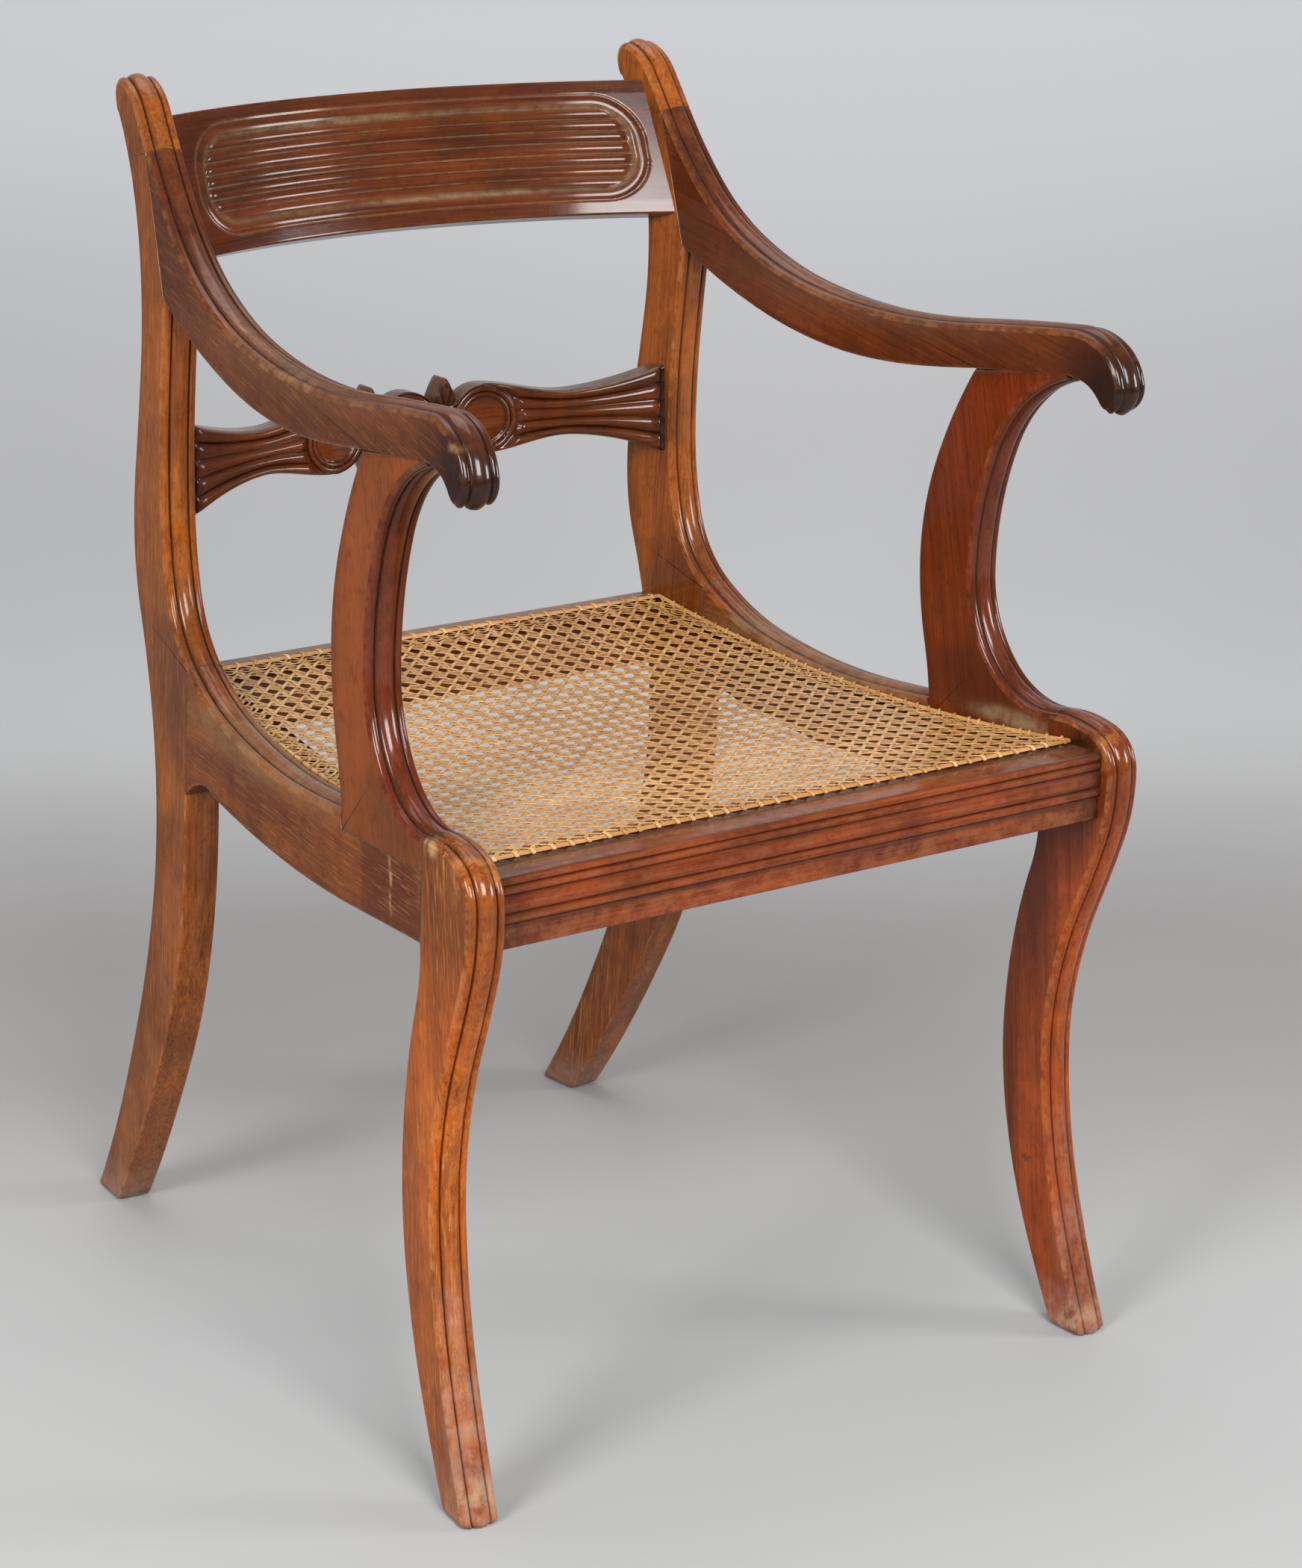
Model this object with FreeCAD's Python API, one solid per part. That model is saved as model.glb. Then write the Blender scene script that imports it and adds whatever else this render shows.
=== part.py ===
"""Bar back elbow chair: two reeded side frames joined by seat rails, a top bar and a carved
centre rail, with a caned seat. Millimetres, +Z up, front to -Y, floor at Z = 0."""
import FreeCAD, Part
import math
import os

V = FreeCAD.Vector

# Overall sizes. The side pattern below is drawn at pattern_height by pattern_depth.
chair_height = 850.0
chair_depth = 640.0
side_spacing = 455.0      # between the side frames' middle planes, at the floor and the pattern's zero line
side_splay = 4.5          # degrees that each side frame opens towards the front
side_lean = 0.49          # degrees that each side frame leans in towards the top
pattern_height = 850.0
pattern_depth = 640.0

# Boards of the side frames and their reeding
board = 26.0
reed_margin = 0.6         # plain arris left beside the reeding
reed_split = 6.6          # groove between middle and outer reed, from the board's middle
groove_height = 2.3
outer_reed_height = 2.9
middle_reed_height = 5.2
reed_root = 1.2           # how far the reeding is worked from inside the board's edge

# Seat rails
front_rail_height = 46.0
front_rail_depth = 46.0
front_rail_inset = 8.0    # from the leg's shoulder back to the rail's face
rail_below_shoulder = 13.0
front_bead_rise = 2.4
front_beads = (5.8, 6.0, 12.0, 6.2)   # nosing, reed, wide reed and reed, from the top down
rear_rail_height = 42.0
rear_rail_depth = 45.0
rear_rail_back = 210.0
lip_width = 22.0          # inner lip of a side rail that carries the cane
lip_thickness = 20.0

# Caned seat
cane_thickness = 2.4
cane_gap = 2.0            # from the cane's edge to the side frames
cane_margin = 25.0        # plain top of the front rail before the cane
cane_rear_margin = 20.0   # plain top of the rear rail behind the cane
cane_dip_at, cane_dip = -40.0, 420.0   # lowest part of the seat, on the pattern
cane_front_rise = 0.4     # cane's underside above the front rail's top at its front edge
cane_rear_height = 441.0
cane_rear_rise = 1.0      # rear rail's top below the cane's rear edge
cane_columns = 17
cane_rows = 17
cane_bar = 5.0            # width of cane left between two gaps
binder_width = 5.0
binder_thickness = 1.4
binder_inset = 3.0
seat_overrun = 30.0       # how far the dip is drawn past the cane's front and rear edges

# Back bars
bar_height = 98.0
bar_thickness = 18.0
bar_lean = 19.0           # degrees that the top bar leans back
bar_bow = 52.0            # depth of its curve in plan
bar_foot_front = 170.0    # its lower front edge, where it meets the posts
bar_foot_level = 731.0
panel_edge = 9.25         # border above and below the sunk panel
panel_end = 14.0          # border at its ends
panel_shift = 5.0         # how far right of the middle the panel was cut
panel_corner = 34.0
panel_ring = 10.0         # plain ring between the panel's edge and its reeds
panel_sunk = 1.2
panel_groove = 3.6        # depth of the grooves between the reeds
panel_reeds = 7
centre_thickness = 16.0
centre_bow = 44.5
centre_front = 182.0
centre_level = 585.0      # through the middle of the roundels
roundel_pitch = 62.0
roundel_lobe = 26.0       # radius of the rail's edge round a roundel
wing_end = 32.5           # half height of a wing at the post
wing_waist = 16.6         # half height at its waist
wing_waist_at = 125.0     # from the chair's middle to the waist
wing_flare = 0.42         # slope of a wing's edge at the post
wing_growth = 2.0         # what a wing gains in half height by the post's middle
roundel_disc = 16.8       # radius of the sunk disc
roundel_ring = 20.6       # radius of the groove round it
flute_width = 1.6
flute_depth = 1.2
flute_stop = 5.0          # plain wood left at both ends of a wing's grooves
flute_shares = (-0.6, -0.2, 0.2, 0.6)
leaf_reach = 34.5         # tip of a leaf above and below the roundels' middle
leaf_width = 11.0
leaf_swell = 0.7          # where along a leaf it is widest
leaf_overlap = 1.0

# Joints
clearance = 0.2
tenon_thickness = 8.0
side_tenon_length = 20.0
side_tenon_root = 20.0    # how far a side rail's tenon is drawn back into the rail
post_tenon_levels = (386.0, 436.0)
leg_tenon_levels = (380.0, 411.0)
rail_tenon_length = 15.0
rail_tenon_thickness = 12.0
front_tenon_set = 8.0     # from the rail's front to its tenon
rear_tenon_set = 17.0
bar_tenon_length = 10.0
tenon_shoulder = 6.0      # from a rail's edge to its tenon
tenon_overlap = 1.0       # how far a tenon is drawn back into its own rail
dowel_diameter = 9.0
dowel_length = 38.0
screw_diameter = 5.0
screw_length = 45.0
screw_head = 9.0
screw_off_middle = 2.5
pellet_diameter = 10.0
pellet_depth = 6.0
peg_diameter = 4.4
peg_length = 14.0
peg_set = 9.0             # from the cane's front or rear edge to a peg
peg_side = 12.0           # from the side frame to a peg

REACH = 700.0             # longer than the chair in any direction
FLOOR_CUT = 10.0          # how far legs are drawn below the floor before they are cut level
BOW_SWEEP = 120.0         # degrees that a bowed bar is turned through before it is cut to length


def at(s, z, w=0.0):
    """Point of the side pattern: w across the board, s towards the back, z up."""
    return V(w, s * chair_depth / pattern_depth, z * chair_height / pattern_height)


def flow(*points):
    """Smooth edges through side-pattern points (s, z, heading in degrees): two tangent arcs per step."""
    places = [at(s, z) for s, z, heading in points]
    headings = [at(math.cos(math.radians(h)), math.sin(math.radians(h))).normalize() for s, z, h in points]
    edges = []
    for p, q, t, u in zip(places, places[1:], headings, headings[1:]):
        chord = q - p
        along = chord.dot(t + u)
        bend = 2.0 * (1.0 - t.dot(u))
        reach = (math.sqrt(along * along + bend * chord.dot(chord)) - along) / bend
        meet = (p + q + (t - u) * reach) * 0.5
        edges.append(Part.Arc(p, arc_middle(p, meet, t), meet).toShape())
        edges.append(Part.Arc(meet, arc_middle(q, meet, u * -1.0), q).toShape())
    return edges


def arc_middle(start, end, heading):
    """Middle of the arc that leaves start along a heading and reaches end."""
    chord = end - start
    aside = heading - chord * (heading.dot(chord) / chord.dot(chord))
    half = math.atan2(aside.Length, heading.dot(chord) / chord.Length) / 2.0
    return start + chord * 0.5 + aside.normalize() * (chord.Length / 2.0 * math.tan(half))


def line(a, b):
    return Part.LineSegment(at(*a), at(*b)).toShape()


def sawn(edges):
    """Board cut to a closed outline in the side pattern, centred on the frame's middle plane."""
    wire = Part.Wire(Part.sortEdges(edges)[0])
    solid = Part.Face(wire).extrude(V(board, 0, 0))
    solid.translate(V(-board / 2.0, 0, 0))
    return solid


def reed_section(p, out):
    """Section of the reeding at a point of a board's edge, rooted a little inside the board."""
    half = board / 2.0 - reed_margin
    outer_middle = (half + reed_split) / 2.0

    def on(w, height):
        return p + V(w, 0, 0) + out * height

    marks = [(-half, 0), (-outer_middle, outer_reed_height), (-reed_split, groove_height),
             (0, middle_reed_height),
             (reed_split, groove_height), (outer_middle, outer_reed_height), (half, 0)]
    crests = [Part.Arc(*[on(*mark) for mark in marks[i:i + 3]]).toShape() for i in (0, 2, 4)]
    root = Part.makePolygon([on(half, 0), on(half, -reed_root), on(-half, -reed_root), on(-half, 0)])
    return Part.Face(Part.Wire(crests + root.Edges))


def reeding(edges):
    """Three reeds, a wide one between two narrow, carried along the arcs and lines of a board's edge."""
    runs = []
    for edge in edges:
        start, end = edge.firstVertex(True).Point, edge.lastVertex(True).Point
        t = edge.tangentAt(edge.FirstParameter)
        section = reed_section(start, V(0, t.z, -t.y))
        if isinstance(edge.Curve, Part.Circle):
            turn = math.degrees(edge.LastParameter - edge.FirstParameter)
            runs.append(section.revolve(edge.Curve.Center, edge.Curve.Axis, turn))
        else:
            runs.append(section.extrude(end - start))
    return runs[0].fuse(runs[1:])


def block(s0, s1, z0, z1, w0, w1):
    """Square block in the side pattern, w across the board."""
    a, b = at(s0, z0, w0), at(s1, z1, w1)
    return Part.makeBox(b.x - a.x, b.y - a.y, b.z - a.z, a)


def pin(start, direction, length, diameter):
    return Part.makeCylinder(diameter / 2.0, length, start, direction)


side_turn = FreeCAD.Rotation(V(0, 0, 1), side_splay) * FreeCAD.Rotation(V(0, 1, 0), -side_lean)
side_place = FreeCAD.Placement(V(side_spacing / 2.0, 0, 0), side_turn)


def stand(solid):
    """Place a solid of the side pattern in the right-hand side frame."""
    placed = solid.copy()
    placed.Placement = side_place
    return placed


def mirrored(solid):
    return solid.mirror(V(0, 0, 0), V(1, 0, 0))


def between(depth):
    """Space between the side frames, reaching the given depth into their inner faces."""
    room = Part.makeBox(2 * REACH, 2 * REACH, 2 * REACH, V(-REACH, -REACH, -REACH / 2.0))
    beyond = Part.makeBox(REACH, 4 * REACH, 4 * REACH, V(depth - board / 2.0, -2 * REACH, -2 * REACH))
    beyond = stand(beyond)
    return room.cut([beyond, mirrored(beyond)])


# Points where the boards of a side frame meet
ARM_CREST, ARM_HEEL = (188, 803), (165, 708)
RAIL_CREST, RAIL_HORN = (142, 457), (154, 365)
SHOULDER, LEG_HEEL = (-226, 440), (-218, 373)
SHOULDER_FRONT = (-282.5, 412)
FRONT_TOE, FRONT_HEEL = (-274, -FLOOR_CUT), (-248, -FLOOR_CUT)
REAR_TOE, REAR_HEEL = (361, -FLOOR_CUT), (323, -FLOOR_CUT)
PROP_TOP_BACK, PROP_TOP_FRONT = (-147, 665), (-232, 673)
PROP_FOOT_BACK = (-107, 414)
PROP_FOOT_FRONT = (-223.6, 420)
RAIL_AT_PROP = (-104.5, 424)

# Reeded edges, each drawn once, with the same heading on both sides of a joint
CREST_TURN, RAIL_TURN, SHOULDER_TURN = 237, 213, 172
nose_edge = flow((236, 826, 51), (230, 845, 191), (*ARM_CREST, CREST_TURN))
arm_edge = flow((*ARM_CREST, CREST_TURN), (103, 720, 207), (-45, 687, 182), (-235, 700, 176), (-278, 671, 260),
                (-270, 656, 333))
post_edge = flow((*ARM_HEEL, 280), (182, 570, 272), (*RAIL_CREST, RAIL_TURN))
rail_edge = flow((*RAIL_CREST, RAIL_TURN), (10, 421, 184), (*RAIL_AT_PROP, 175))
prop_edge = flow((*PROP_TOP_FRONT, -16), (-143.5, 522, -89), (*SHOULDER, SHOULDER_TURN))
leg_edge = flow((*SHOULDER, SHOULDER_TURN), (*SHOULDER_FRONT, 270), (-253.5, 314, 294), (-227.5, 195, 269),
                (*FRONT_TOE, 249))

# Side frame boards, before their reeding
post_back = flow((236, 826, 236), (205, 725, 268), (226, 585, 284), (226, 480, 253), (208, 360, 271),
                 (252, 182, 294), (*REAR_TOE, 307))
post_leg = flow((*REAR_HEEL, 129), (215, 150, 120), (*RAIL_HORN, 93))
post = sawn(nose_edge + [line(ARM_CREST, ARM_HEEL)] + post_edge + [line(RAIL_CREST, RAIL_HORN)] + post_leg
            + [line(REAR_HEEL, REAR_TOE)] + post_back)
scroll_under = flow((-270, 656, 0), (-257, 666, 39), (*PROP_TOP_FRONT, 0))
arm_under = flow((*PROP_TOP_BACK, -8), (-40, 656, 0), (*ARM_HEEL, 27))
arm = sawn(arm_edge + scroll_under + [line(PROP_TOP_FRONT, PROP_TOP_BACK)] + arm_under
           + [line(ARM_HEEL, ARM_CREST)])
prop_back = flow((*PROP_FOOT_BACK, 89), (-95, 520, 90), (*PROP_TOP_BACK, 125))
prop = sawn(prop_edge + [line(SHOULDER, PROP_FOOT_FRONT), line(PROP_FOOT_FRONT, PROP_FOOT_BACK)] + prop_back
            + [line(PROP_TOP_BACK, PROP_TOP_FRONT)])
rail_under = flow((*RAIL_HORN, 136), (120, 381, 174), (95, 376.5, 188), (-40, 365.5, 181), (*LEG_HEEL, 177))
side_rail = sawn(rail_edge + [line(RAIL_AT_PROP, PROP_FOOT_BACK), line(PROP_FOOT_BACK, PROP_FOOT_FRONT),
                              line(PROP_FOOT_FRONT, LEG_HEEL)] + rail_under + [line(RAIL_HORN, RAIL_CREST)])
leg_back = flow((*LEG_HEEL, -91), (-199, 290, -77), (-192, 150, -99), (*FRONT_HEEL, -117))
leg = sawn(leg_edge + [line(FRONT_TOE, FRONT_HEEL)] + leg_back + [line(LEG_HEEL, SHOULDER)])
boards = {"post": post, "arm": arm, "prop": prop, "rail": side_rail, "leg": leg}


# Above the floor, as the leaning side frame sees it
above_floor = Part.makeBox(2 * REACH, 2 * REACH, 2 * REACH, V(-REACH, -REACH, 0))
above_floor.Placement = side_place.inverse()


def reeded(name, *edge_runs):
    """Board with its reeding, which stops where another board begins, its foot level with the floor."""
    others = [solid for other, solid in boards.items() if other != name]
    pieces = [boards[name]] + [reeding(run).cut(others) for run in edge_runs]
    pieces = [piece.common(above_floor) for piece in pieces]
    return pieces[0].fuse(pieces[1:]).removeSplitter()


post_reeded = reeded("post", nose_edge, post_edge)
arm_reeded = reeded("arm", arm_edge)
prop_reeded = reeded("prop", prop_edge)
rail_reeded = reeded("rail", rail_edge)
leg_reeded = reeded("leg", leg_edge)


def side_tenon(s0, s1, z0, z1, grow):
    """Tenon along the side frame, or its mortise when grown by the clearance."""
    half = tenon_thickness / 2.0 + grow
    return block(s0 - grow, s1 + grow, z0 - grow, z1 + grow, -half, half)


# Side rail tenons into the post and the leg
post_joint = (RAIL_CREST[0] + RAIL_HORN[0]) / 2.0
leg_joint = (PROP_FOOT_FRONT[0] + LEG_HEEL[0]) / 2.0
TENON_AT_POST = (post_joint - side_tenon_root, post_joint + side_tenon_length, *post_tenon_levels)
TENON_AT_LEG = (leg_joint - side_tenon_length, leg_joint + side_tenon_root, *leg_tenon_levels)
rail_reeded = rail_reeded.fuse([side_tenon(*TENON_AT_POST, 0.0), side_tenon(*TENON_AT_LEG, 0.0)])
post_reeded = post_reeded.cut(side_tenon(*TENON_AT_POST, clearance))
leg_reeded = leg_reeded.cut(side_tenon(*TENON_AT_LEG, clearance))

# Dowels in the arm support, upright, half in each board
DOWEL_PLACES = ((-190.0, 669.0), (-190.0, 418.4), (-135.0, 415.4))


def dowel(s, z, grow):
    start = at(s, z) - V(0, 0, dowel_length / 2.0 + grow)
    return pin(start, V(0, 0, 1), dowel_length + 2 * grow, dowel_diameter + 2 * grow)


dowels = [dowel(s, z, 0.0) for s, z in DOWEL_PLACES]
dowel_holes = [dowel(s, z, clearance) for s, z in DOWEL_PLACES]
prop_reeded = prop_reeded.cut(dowel_holes)
arm_reeded = arm_reeded.cut(dowel_holes[:1])
rail_reeded = rail_reeded.cut(dowel_holes[1:])

# Screw through the post into the arm, square to their joint, under a wooden pellet
heel, crest = at(*ARM_HEEL), at(*ARM_CREST)
joint_run = (crest - heel).normalize()
screw_way = V(0, -joint_run.z, joint_run.y)
screw_line = Part.LineSegment((heel + crest) * 0.5, (heel + crest) * 0.5 - screw_way * REACH).toShape()
back_point = screw_line.distToShape(Part.Wire(Part.sortEdges(post_back)[0]))[1][0][1]
pellet_start = back_point + V(screw_off_middle, 0, 0)
head_start = pellet_start + screw_way * pellet_depth
head_depth = (screw_head - screw_diameter) / 2.0
head_space = Part.makeCone(screw_head / 2.0 + clearance, screw_diameter / 2.0 + clearance, head_depth,
                           head_start, screw_way)
screw_hole = pin(head_start, screw_way, screw_length + clearance, screw_diameter + 2 * clearance)
screw_space = screw_hole.fuse(head_space)
screw = pin(head_start, screw_way, screw_length, screw_diameter).fuse(
    Part.makeCone(screw_head / 2.0, screw_diameter / 2.0, head_depth, head_start, screw_way))
pellet_run = pin(pellet_start - screw_way * pellet_depth, screw_way, 2 * pellet_depth, pellet_diameter)
pellet = pellet_run.common(boards["post"])
pellet_space = pin(pellet_start - screw_way * pellet_depth, screw_way, 2 * pellet_depth,
                   pellet_diameter + 2 * clearance)
post_reeded = post_reeded.cut([screw_space, pellet_space])
arm_reeded = arm_reeded.cut(screw_space)

# The side frame stands at its splay and lean
right = {"back_post": stand(post_reeded), "arm": stand(arm_reeded), "arm_support": stand(prop_reeded),
         "side_rail": stand(rail_reeded), "front_leg": stand(leg_reeded)}

# Seat levels
shoulder_point = at(*SHOULDER)
rail_face = at(*SHOULDER_FRONT).y + front_rail_inset
front_top = shoulder_point.z - rail_below_shoulder
front_back = rail_face + front_rail_depth
cane_front = rail_face + cane_margin
cane_front_level = front_top + cane_thickness + cane_front_rise
rear_back = at(rear_rail_back, 0).y
rear_front = rear_back - rear_rail_depth
cane_back = rear_back - cane_rear_margin
cane_rear_level = at(0, cane_rear_height).z
dip_point = at(cane_dip_at, cane_dip)
seat_circle = Part.Circle(V(0, cane_front, cane_front_level), dip_point, V(0, cane_back, cane_rear_level))
first_row, last_row = front_back + cane_bar / 2.0, rear_front - cane_bar / 2.0
row_pitch = (last_row - first_row) / cane_rows
row_lines = [first_row + i * row_pitch for i in range(cane_rows + 1)]


def seat_slab(top, bottom):
    """Solid that follows the seat's dip across the whole width, between two depths below its top.
    The strands run straight from one row to the next, so the dip has one flat to each row."""
    def on_dip(y, drop):
        rise = math.sqrt(seat_circle.Radius ** 2 - (y - seat_circle.Center.y) ** 2)
        return V(-REACH, y, seat_circle.Center.z - rise - drop)

    places = [cane_front - seat_overrun] + row_lines + [cane_back + seat_overrun]
    outline = [on_dip(y, top) for y in places] + [on_dip(y, bottom) for y in reversed(places)]
    return Part.Face(Part.makePolygon(outline + outline[:1])).extrude(V(2 * REACH, 0, 0))


def deep(y0, y1):
    """Slice of the chair between two places from front to back."""
    return Part.makeBox(2 * REACH, y1 - y0, 2 * REACH, V(-REACH, y0, -REACH / 2.0))


cane_space = deep(cane_front, cane_back).common(seat_slab(-REACH / 4.0, cane_thickness))

# Inner lip of the side rail, which carries the cane's edge
lip = between(0.0).cut(between(-lip_width)).common(deep(front_back, rear_front))
lip = lip.common(Part.makeBox(REACH, 2 * REACH, 2 * REACH, V(0, -REACH, -REACH / 2.0)))
lip = lip.common(seat_slab(cane_thickness, cane_thickness + lip_thickness))
right["side_rail"] = right["side_rail"].fuse(lip)


def cross_member(body, tenon, mortise, depth, receivers):
    """Member between the side frames: its shoulders touch them and its tenons go into them."""
    for name in receivers:
        right[name] = right[name].cut(mortise.common(between(depth + clearance)))
    tenon_room = between(depth).cut(between(-tenon_overlap))
    return body.common(between(0.0)).fuse(tenon.common(tenon_room))


def rail_tenon(y0, y1, z0, z1, grow):
    return Part.makeBox(2 * REACH, y1 - y0 + 2 * grow, z1 - z0 + 2 * grow, V(-REACH, y0 - grow, z0 - grow))


def front_rail_profile():
    """Section of the front rail: a moulded face of nosing and three reeds above a plain band."""
    bottom = front_top - front_rail_height
    start = V(-REACH, rail_face, front_top)
    edges = []
    z = front_top
    for width in front_beads:
        top = V(-REACH, rail_face, z)
        crown = V(-REACH, rail_face - front_bead_rise, z - width / 2.0)
        z -= width
        edges.append(Part.Arc(top, crown, V(-REACH, rail_face, z)).toShape())
    edges += Part.makePolygon([V(-REACH, rail_face, z), V(-REACH, rail_face, bottom),
                               V(-REACH, front_back, bottom), V(-REACH, front_back, front_top), start]).Edges
    return Part.Face(Part.Wire(edges))


front_body = front_rail_profile().extrude(V(2 * REACH, 0, 0)).cut(cane_space)
front_tenon = (rail_face + front_tenon_set, rail_face + front_tenon_set + rail_tenon_thickness,
               front_top - front_rail_height + tenon_shoulder, front_top - tenon_shoulder)
front_rail = cross_member(front_body, rail_tenon(*front_tenon, 0.0), rail_tenon(*front_tenon, clearance),
                          rail_tenon_length, ("front_leg", "side_rail"))

rear_top = cane_rear_level - cane_rear_rise
rear_body = Part.makeBox(2 * REACH, rear_rail_depth, rear_rail_height,
                         V(-REACH, rear_front, rear_top - rear_rail_height)).cut(cane_space)
rear_tenon = (rear_front + rear_tenon_set, rear_front + rear_tenon_set + rail_tenon_thickness,
              rear_top - rear_rail_height + tenon_shoulder, rear_top - 2 * tenon_shoulder)
rear_rail = cross_member(rear_body, rail_tenon(*rear_tenon, 0.0), rail_tenon(*rear_tenon, clearance),
                         rail_tenon_length, ("back_post", "side_rail"))


def bowed(outline, axis_y):
    """Turn an outline in the middle plane, points or edges, about an upright axis in front of the back."""
    if isinstance(outline[0], FreeCAD.Vector):
        outline = Part.makePolygon(outline + outline[:1]).Edges
    face = Part.Face(Part.Wire(outline))
    face.rotate(V(0, axis_y, 0), V(0, 0, 1), -BOW_SWEEP / 2.0)
    return face.revolve(V(0, axis_y, 0), V(0, 0, 1), BOW_SWEEP)


def bow_half(front_y, level):
    """Half width between the side frames at a depth and a level."""
    lean_in = level * math.tan(math.radians(side_lean))
    return side_spacing / 2.0 - front_y * math.tan(math.radians(side_splay)) - board / 2.0 - lean_in


def bow_axis(front_y, bow, level):
    """Centre of the curve in plan that meets both side frames and is as deep as the bow."""
    half = bow_half(front_y, level)
    radius = (half * half + bow * bow) / (2.0 * bow)
    return front_y + bow - radius


# Top bar, leaning back and bowed
bar_foot = at(bar_foot_front, bar_foot_level)
bar_axis = bow_axis(bar_foot.y, bar_bow, bar_foot.z)
bar_up = V(0, math.sin(math.radians(bar_lean)), math.cos(math.radians(bar_lean)))
bar_in = V(0, bar_up.z, -bar_up.y)
bar_corner = V(0, bar_foot.y + bar_bow, bar_foot.z)


def bar_section(edge, face, grow=0.0):
    """Tilted rectangle in the bar, edge in from its ends in height and face in from its front and back."""
    a = bar_corner + bar_up * (edge - grow) + bar_in * (face - grow)
    up = bar_up * (bar_height - 2 * edge + 2 * grow)
    across = bar_in * (bar_thickness - 2 * face + 2 * grow)
    return [a, a + up, a + up + across, a + across]


def in_bar(up, deep_in):
    """Place in the bar's section, up its face and in from its front."""
    return bar_corner + bar_up * up + bar_in * deep_in


def panel_prism(inset):
    """Round-cornered prism through the bar's face, inset from the panel's edge."""
    low, high = panel_edge + inset, bar_height - panel_edge - inset
    half = bow_half(bar_foot.y, bar_foot.z) - panel_end - inset
    turn = panel_corner - inset
    start = in_bar(0.0, -2.0 * bar_bow) + V(panel_shift, 0, 0)
    edges = []
    for sx, su, up in ((1, 1, high), (1, -1, low), (-1, -1, low), (-1, 1, high)):
        centre = start + V(sx * (half - turn), 0, 0) + bar_up * (up - su * turn)
        side_point = centre + V(sx * turn, 0, 0)
        edge_point = centre + bar_up * (su * turn)
        middle = centre + (V(sx, 0, 0) + bar_up * su) * (turn / math.sqrt(2.0))
        edges.append(Part.Arc(side_point, middle, edge_point).toShape())
    corners = [edge.Vertexes for edge in edges]
    for a, b in ((corners[0][0], corners[1][0]), (corners[1][1], corners[2][1]),
                 (corners[2][0], corners[3][0]), (corners[3][1], corners[0][1])):
        edges.append(Part.LineSegment(a.Point, b.Point).toShape())
    face = Part.Face(Part.Wire(Part.sortEdges(edges)[0]))
    return face.extrude(bar_in * (4.0 * bar_bow))


# Sunk panel: a plain ring, then reeds whose grooves go deeper
reed_low, reed_high = panel_edge + panel_ring, bar_height - panel_edge - panel_ring
reed_pitch = (reed_high - reed_low) / panel_reeds
reed_edges = []
for i in range(panel_reeds):
    foot = reed_low + i * reed_pitch
    reed_edges.append(Part.Arc(in_bar(foot, panel_groove), in_bar(foot + reed_pitch / 2.0, panel_sunk),
                               in_bar(foot + reed_pitch, panel_groove)).toShape())
reed_edges += Part.makePolygon([in_bar(reed_high, panel_groove), in_bar(reed_high, -panel_groove),
                                in_bar(reed_low, -panel_groove), in_bar(reed_low, panel_groove)]).Edges
panel_top = bar_height - panel_edge
ring_space = bowed([in_bar(panel_edge, -panel_sunk), in_bar(panel_edge, panel_sunk),
                    in_bar(panel_top, panel_sunk), in_bar(panel_top, -panel_sunk)], bar_axis)
bar_body = bowed(bar_section(0.0, 0.0), bar_axis).cut(ring_space.common(panel_prism(0.0)))
bar_body = bar_body.cut(bowed(reed_edges, bar_axis).common(panel_prism(panel_ring)))

bar_cheek = (bar_thickness - tenon_thickness) / 2.0
top_bar = cross_member(bar_body,
                       bowed(bar_section(2 * tenon_shoulder, bar_cheek), bar_axis),
                       bowed(bar_section(2 * tenon_shoulder, bar_cheek, clearance), bar_axis),
                       bar_tenon_length, ("back_post",))

# Centre rail: fluted wings run to three roundels, with leaves between them
centre_base = at(centre_front, centre_level)
centre_axis = bow_axis(centre_base.y, centre_bow, centre_base.z)


def centre_section(half, face, grow=0.0):
    y0 = centre_base.y + centre_bow + face - grow
    y1 = centre_base.y + centre_bow + centre_thickness - face + grow
    z0, z1 = centre_base.z - half - grow, centre_base.z + half + grow
    return [V(0, y0, z0), V(0, y0, z1), V(0, y1, z1), V(0, y1, z0)]


def wing_edge(side, share, shift=0.0):
    """Curve along a wing from the post's middle to its lobe, at a share of the wing's half height."""
    sizes = ((side_spacing / 2.0, wing_end + wing_growth), (wing_waist_at, wing_waist),
             (roundel_pitch, roundel_lobe))
    points = [V(side * x, 0, centre_base.z + share * half + shift) for x, half in sizes]
    curve = Part.BSplineCurve()
    curve.interpolate(Points=points, InitialTangent=V(-side, 0, -share * wing_flare),
                      FinalTangent=V(-side, 0, 0))
    return curve.toShape()


def between_edges(upper, lower):
    """Face between two curves whose ends are joined by straight lines."""
    ends = [Part.LineSegment(upper.Vertexes[i].Point, lower.Vertexes[i].Point).toShape() for i in (0, 1)]
    return Part.Face(Part.Wire(Part.sortEdges([upper, lower] + ends)[0]))


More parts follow.
